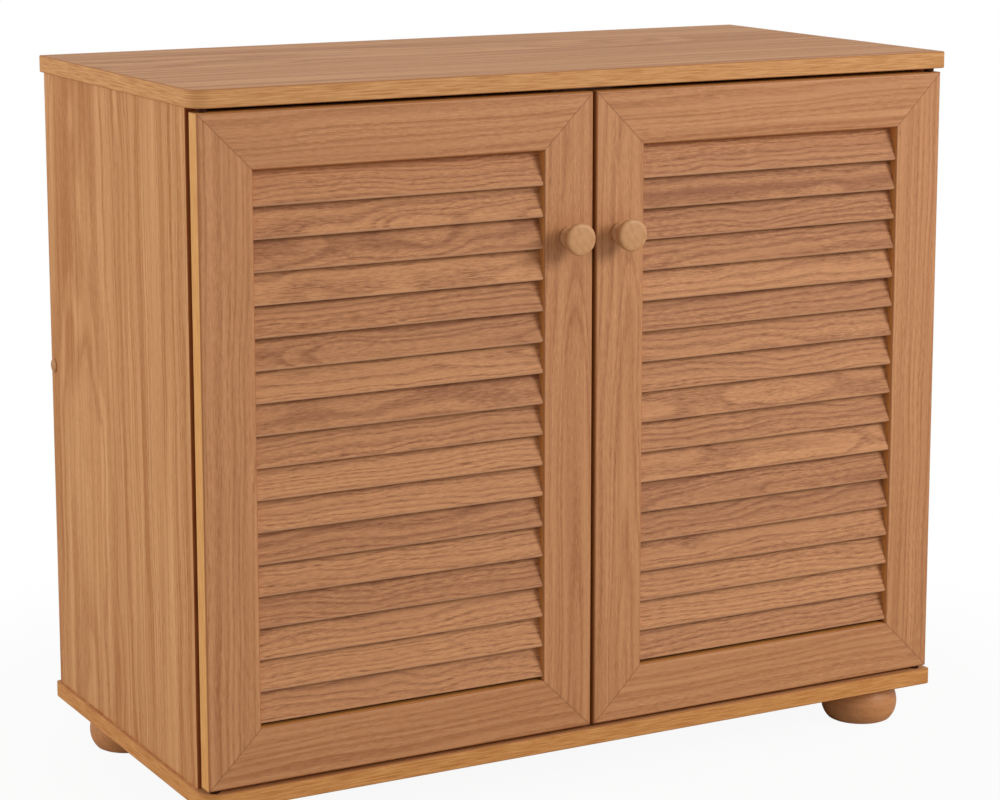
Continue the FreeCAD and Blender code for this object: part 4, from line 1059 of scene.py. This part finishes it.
NAIL_STEM = 0.4         # radius, as a share of the head's
PAN_DOME = 0.6          # share of a pan head's height
SMALL_ARM = 0.8         # reach of a small recess: share of the full one, or of a flush head
PAN_RECESS = 0.7        # depth, as a share of the head's height
FLUSH_RECESS = 0.6      # depth, as a share of the plate's thickness
FLUSH_CUT = 0.7         # width, as a share of the full one


class CABINET_OT_fasteners(Operator):
    """Cross-headed screws, domed screw caps, dowels and pivot pins"""
    bl_idname = "cabinet.fasteners"
    bl_label = "Screws, caps, dowels and pins"

    def execute(self, context):
        fit = context.scene.cabinet_fittings
        screws = solids_of("carcass_screws")
        low, high = span(screws[0])
        reach = max(high - low)
        sink = fit.head_radius - fit.shank_radius
        outline = [(0.0, -reach), (fit.shank_radius, fit.point - reach), (fit.shank_radius, -sink),
                   (fit.head_radius, -fit.head_rim), (fit.head_radius, 0.0), (0.0, 0.0)]
        blank = lathe("screw", outline, segments=32)
        mesh = sink_cross(blank, fit.cross_arm, fit.cross_width, fit.cross_depth)
        places = [screw_head(points) for points in screws]
        steel = plated("Yellow zinc plated steel screws", fit.brass, roughness=0.36)
        repeat("cross_head_screws", mesh, places, "carcass", ["carcass_screws"], steel)

        peg_end = -fit.cap_dome - fit.cap_peg_length
        outline = [(0.0, peg_end), (fit.cap_peg, peg_end), (fit.cap_peg, -fit.cap_dome),
                   (fit.cap_radius, -fit.cap_dome)]
        mesh = lathe("screw_cap", outline + dome(fit.cap_radius, fit.cap_dome - fit.cap_rim, steps=10))
        places = []
        for points in solids_of("screw_caps"):
            look = UNIT["X"] if points[0].x > 0 else -UNIT["X"]
            places.append((far_face(points, look), look))
        plastic = mottled("Moulded plastic screw caps", fit.cap, shaded(fit.cap, 0.86),
                          grain=(0.6 * MM,) * 3, roughness=0.42)
        repeat("domed_screw_caps", mesh, places, "carcass", ["screw_caps"], plastic)

        give("carcass_dowels", mottled("Bare beech dowels", fit.beech_light, fit.beech_dark,
                                       grain=(4 * MM, 1.2 * MM, 4 * MM), roughness=0.6))
        give("pivot_pins", plated("Bronzed steel pivot pins", fit.bronze, roughness=0.5))
        return {"FINISHED"}


class CABINET_OT_back(Operator):
    """Hardboard back panel with a row of nails round its edge and along the rear rail"""
    bl_idname = "cabinet.back"
    bl_label = "Back panel"

    def execute(self, context):
        fit = context.scene.cabinet_fittings
        give("back_panel", mottled("Tempered hardboard", fit.board_light, fit.board_dark,
                                   grain=(1.5 * MM, 1.5 * MM, 2.5 * MM), roughness=0.55))
        low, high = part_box("back_panel")
        rail_low, rail_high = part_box("rear_rail")
        side_low, side_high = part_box("side_panel_left")
        edge = (side_high.x + max(side_low.x, low.x)) / 2
        inset = edge - low.x
        climb = high.z - low.z - 2 * inset
        up_count = math.ceil(climb / fit.nail_spacing)
        across_count = math.ceil(-2 * edge / fit.nail_spacing)
        proud = high.y + fit.nail_crown
        spots = [Vector((x, proud, low.z + inset + climb * i / up_count))
                 for x in (edge, -edge) for i in range(up_count + 1)]
        spots += [Vector((edge - 2 * edge * i / across_count, proud, (rail_low.z + rail_high.z) / 2))
                  for i in range(1, across_count)]
        stem_end = -fit.nail_crown - fit.nail_depth
        outline = [(0.0, stem_end), (fit.nail_radius * NAIL_STEM, stem_end)]
        mesh = lathe("nail", outline + dome(fit.nail_radius, fit.nail_crown, steps=6), segments=20)
        repeat("panel_nails", mesh, [(spot, UNIT["Y"]) for spot in spots], "carcass", [],
               plated("Bright steel panel nails", fit.zinc, roughness=0.3))
        return {"FINISHED"}


class CABINET_OT_catch(Operator):
    """Magnet catch, magnets, strike plates and their small screws"""
    bl_idname = "cabinet.catch"
    bl_label = "Magnet catch"

    def execute(self, context):
        fit = context.scene.cabinet_fittings
        give("magnet_catch", mottled("Moulded plastic catch", fit.catch, shaded(fit.catch, 0.8),
                                     grain=(0.8 * MM,) * 3, roughness=0.45))
        give("catch_magnets", mottled("Bare ferrite magnets", fit.magnet, shaded(fit.magnet, 0.6),
                                      grain=(0.5 * MM,) * 3, roughness=0.55))
        steel = plated("Zinc plated steel strike plates", fit.zinc, roughness=0.32)
        screw = plated("Zinc plated small screws", fit.zinc, roughness=0.38)

        low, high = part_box("magnet_catch")
        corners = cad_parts["magnet_catch"].data.vertices
        ear_low = min(v.co.z for v in corners if v.co.x - low.x < TOUCH)
        ear = (high.x - low.x - fit.catch_width) / 4
        outline = [(0.0, -fit.pan_height), (fit.pan_radius, -fit.pan_height)]
        outline += dome(fit.pan_radius, PAN_DOME * fit.pan_height, steps=8)
        head = lathe("pan_head", outline, segments=32)
        head = sink_cross(head, fit.cross_arm * SMALL_ARM, fit.cross_width, fit.pan_height * PAN_RECESS)
        places = [(Vector((x, (low.y + high.y) / 2, ear_low - fit.pan_height)), -UNIT["Z"])
                  for x in (low.x + ear, high.x - ear)]
        repeat("catch_screws", head, places, "carcass", [], screw)

        for side in DOORS:
            node_name = f"{side}_strike_plate"
            give(node_name, steel)
            low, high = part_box(node_name)
            depth = high.y - low.y
            radius = fit.plate_screw_radius
            flush = lathe("flush_head", [(0.0, -depth), (radius, -depth), (radius, 0.0), (0.0, 0.0)],
                          segments=32)
            flush = sink_cross(flush, radius * SMALL_ARM, fit.cross_width * FLUSH_CUT, depth * FLUSH_RECESS)
            spot = Vector(((low.x + high.x) / 2, high.y, (low.z + high.z) / 2))
            repeat(f"{side}_plate_screw", flush, [(spot, UNIT["Y"])], f"{side}_door", [],
                   screw)
        return {"FINISHED"}


# ---------------------------------------------------------------- stage

WHITE = (1.0, 1.0, 1.0, 1.0)
FLOOR_REACH = 6.0
FLOOR_FADE = (0.35, 0.8)     # how far from the middle the floor turns from its colour to white
FLOOR_GLOW = 0.93            # how white it looks under the cabinet, where it still shows a shadow

# each light's name, spot, size, and the setting that holds its power
LIGHTS = (
    ("key_light", Vector((1.9, -2.6, 1.7)), 1.3, "key_power"),
    ("side_light", Vector((-2.8, 0.5, 0.95)), 1.4, "side_power"),
)

# the camera stands left of the middle, above the cabinet's top, and looks slightly down
CAMERA_SPOT = (-1.1954, DOOR_FRONT - 2.0403, BASE_UNDERSIDE + 0.8135)
CAMERA_DOWN = math.radians(9.83)
CAMERA_RIGHT = math.radians(28.64)
CAMERA_SENSOR = 36.0
CAMERA_LENS = 101.43
CAMERA_SHIFT = (-0.0107, -0.1100)


class CABINET_OT_stage(Operator):
    """Pale floor, soft lights and the camera"""
    bl_idname = "cabinet.stage"
    bl_label = "Stage"

    def execute(self, context):
        scene = context.scene
        stage = scene.cabinet_stage
        scene.view_settings.view_transform = "Standard"
        self.lay_floor(stage)
        self.light_room(scene, stage)
        self.place_camera(scene)
        return {"FINISHED"}

    def lay_floor(self, stage):
        """Paper that the camera sees as white a little way off, and that keeps the cabinet's shadow."""
        mesh = bpy.data.meshes.new("floor")
        corners = [(x * FLOOR_REACH, y * FLOOR_REACH, 0) for x, y in ((-1, -1), (1, -1), (1, 1), (-1, 1))]
        mesh.from_pydata(corners, [], [(0, 1, 2, 3)])
        floor = new_object("floor", mesh)
        floor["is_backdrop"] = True
        material = bpy.data.materials.new("Seamless paper backdrop")
        tree = bare_tree(material)
        paper = add(tree, "ShaderNodeBsdfDiffuse", [stage.floor])
        glow = add(tree, "ShaderNodeEmission", [WHITE, 1.0])
        away = add(tree, "ShaderNodeTexCoord").outputs["Object"]
        away = add(tree, "ShaderNodeVectorMath", [away], operation="LENGTH").outputs["Value"]
        away = add(tree, "ShaderNodeMapRange", [away, *FLOOR_FADE, FLOOR_GLOW, 1.0],
                   interpolation_type="SMOOTHSTEP")
        seen = add(tree, "ShaderNodeLightPath").outputs["Is Camera Ray"]
        blank = add(tree, "ShaderNodeMath", [away, seen], operation="MULTIPLY")
        surface = add(tree, "ShaderNodeMixShader", [blank, paper, glow])
        add(tree, "ShaderNodeOutputMaterial", {"Surface": surface})
        mesh.materials.append(material)

    def light_room(self, scene, stage):
        """Even light from all round, which looks white itself, and two soft lights."""
        scene.world = bpy.data.worlds.new("soft room")
        tree = bare_tree(scene.world)
        path = add(tree, "ShaderNodeLightPath").outputs
        seen = add(tree, "ShaderNodeMath", [path["Is Camera Ray"], path["Is Glossy Ray"]],
                   operation="MAXIMUM")
        seen = add(tree, "ShaderNodeMath", [seen, path["Is Transmission Ray"]], operation="MAXIMUM")
        strength = add(tree, "ShaderNodeMix", [seen, stage.ambient, 1.0], data_type="FLOAT")
        room = add(tree, "ShaderNodeBackground", [WHITE, strength])
        add(tree, "ShaderNodeOutputWorld", {"Surface": room})

        low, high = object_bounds()
        middle = (Vector(low) + Vector(high)) / 2
        for name, spot, size, setting in LIGHTS:
            light = bpy.data.lights.new(name, "AREA")
            light.size = size
            light.energy = getattr(stage, setting)
            lamp = new_object(name, light)
            lamp.location = spot
            lamp.rotation_euler = (middle - spot).to_track_quat("-Z", "Y").to_euler()

    def place_camera(self, scene):
        """The camera that takes the main picture."""
        data = bpy.data.cameras.new("camera")
        data.sensor_width = CAMERA_SENSOR
        data.lens = CAMERA_LENS
        data.shift_x, data.shift_y = CAMERA_SHIFT
        camera = new_object("camera", data)
        camera.location = CAMERA_SPOT
        camera.rotation_euler = (math.pi / 2 - CAMERA_DOWN, 0.0, -CAMERA_RIGHT)
        scene.camera = camera


# ---------------------------------------------------------------- add-on

class CABINET_PT_panel(Panel):
    """Lists the steps that dress the cabinet"""
    bl_idname = "CABINET_PT_panel"
    bl_label = "Louvred cabinet"
    bl_space_type = "VIEW_3D"
    bl_region_type = "UI"
    bl_category = "Cabinet"

    def draw(self, context):
        for step in OPERATORS:
            self.layout.operator(step.bl_idname)


SETTINGS = {
    "cabinet_boards": BoardSettings,
    "cabinet_frames": FrameSettings,
    "cabinet_slats": SlatSettings,
    "cabinet_knobs": KnobSettings,
    "cabinet_feet": FootSettings,
    "cabinet_fittings": FittingSettings,
    "cabinet_stage": StageSettings,
}
OPERATORS = (
    CABINET_OT_stage,
    CABINET_OT_case_boards,
    CABINET_OT_door_frames,
    CABINET_OT_slats,
    CABINET_OT_knobs,
    CABINET_OT_feet,
    CABINET_OT_fasteners,
    CABINET_OT_back,
    CABINET_OT_catch,
)


def register():
    for name, group in SETTINGS.items():
        bpy.utils.register_class(group)
        setattr(bpy.types.Scene, name, PointerProperty(type=group))
    for operator in OPERATORS:
        bpy.utils.register_class(operator)
    bpy.utils.register_class(CABINET_PT_panel)


def unregister():
    bpy.utils.unregister_class(CABINET_PT_panel)
    for operator in reversed(OPERATORS):
        bpy.utils.unregister_class(operator)
    for name, group in reversed(SETTINGS.items()):
        delattr(bpy.types.Scene, name)
        bpy.utils.unregister_class(group)


def main():
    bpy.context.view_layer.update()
    register()
    for operator in OPERATORS:
        family, name = operator.bl_idname.split(".")
        getattr(getattr(bpy.ops, family), name)()


if __name__ == "__main__":
    main()
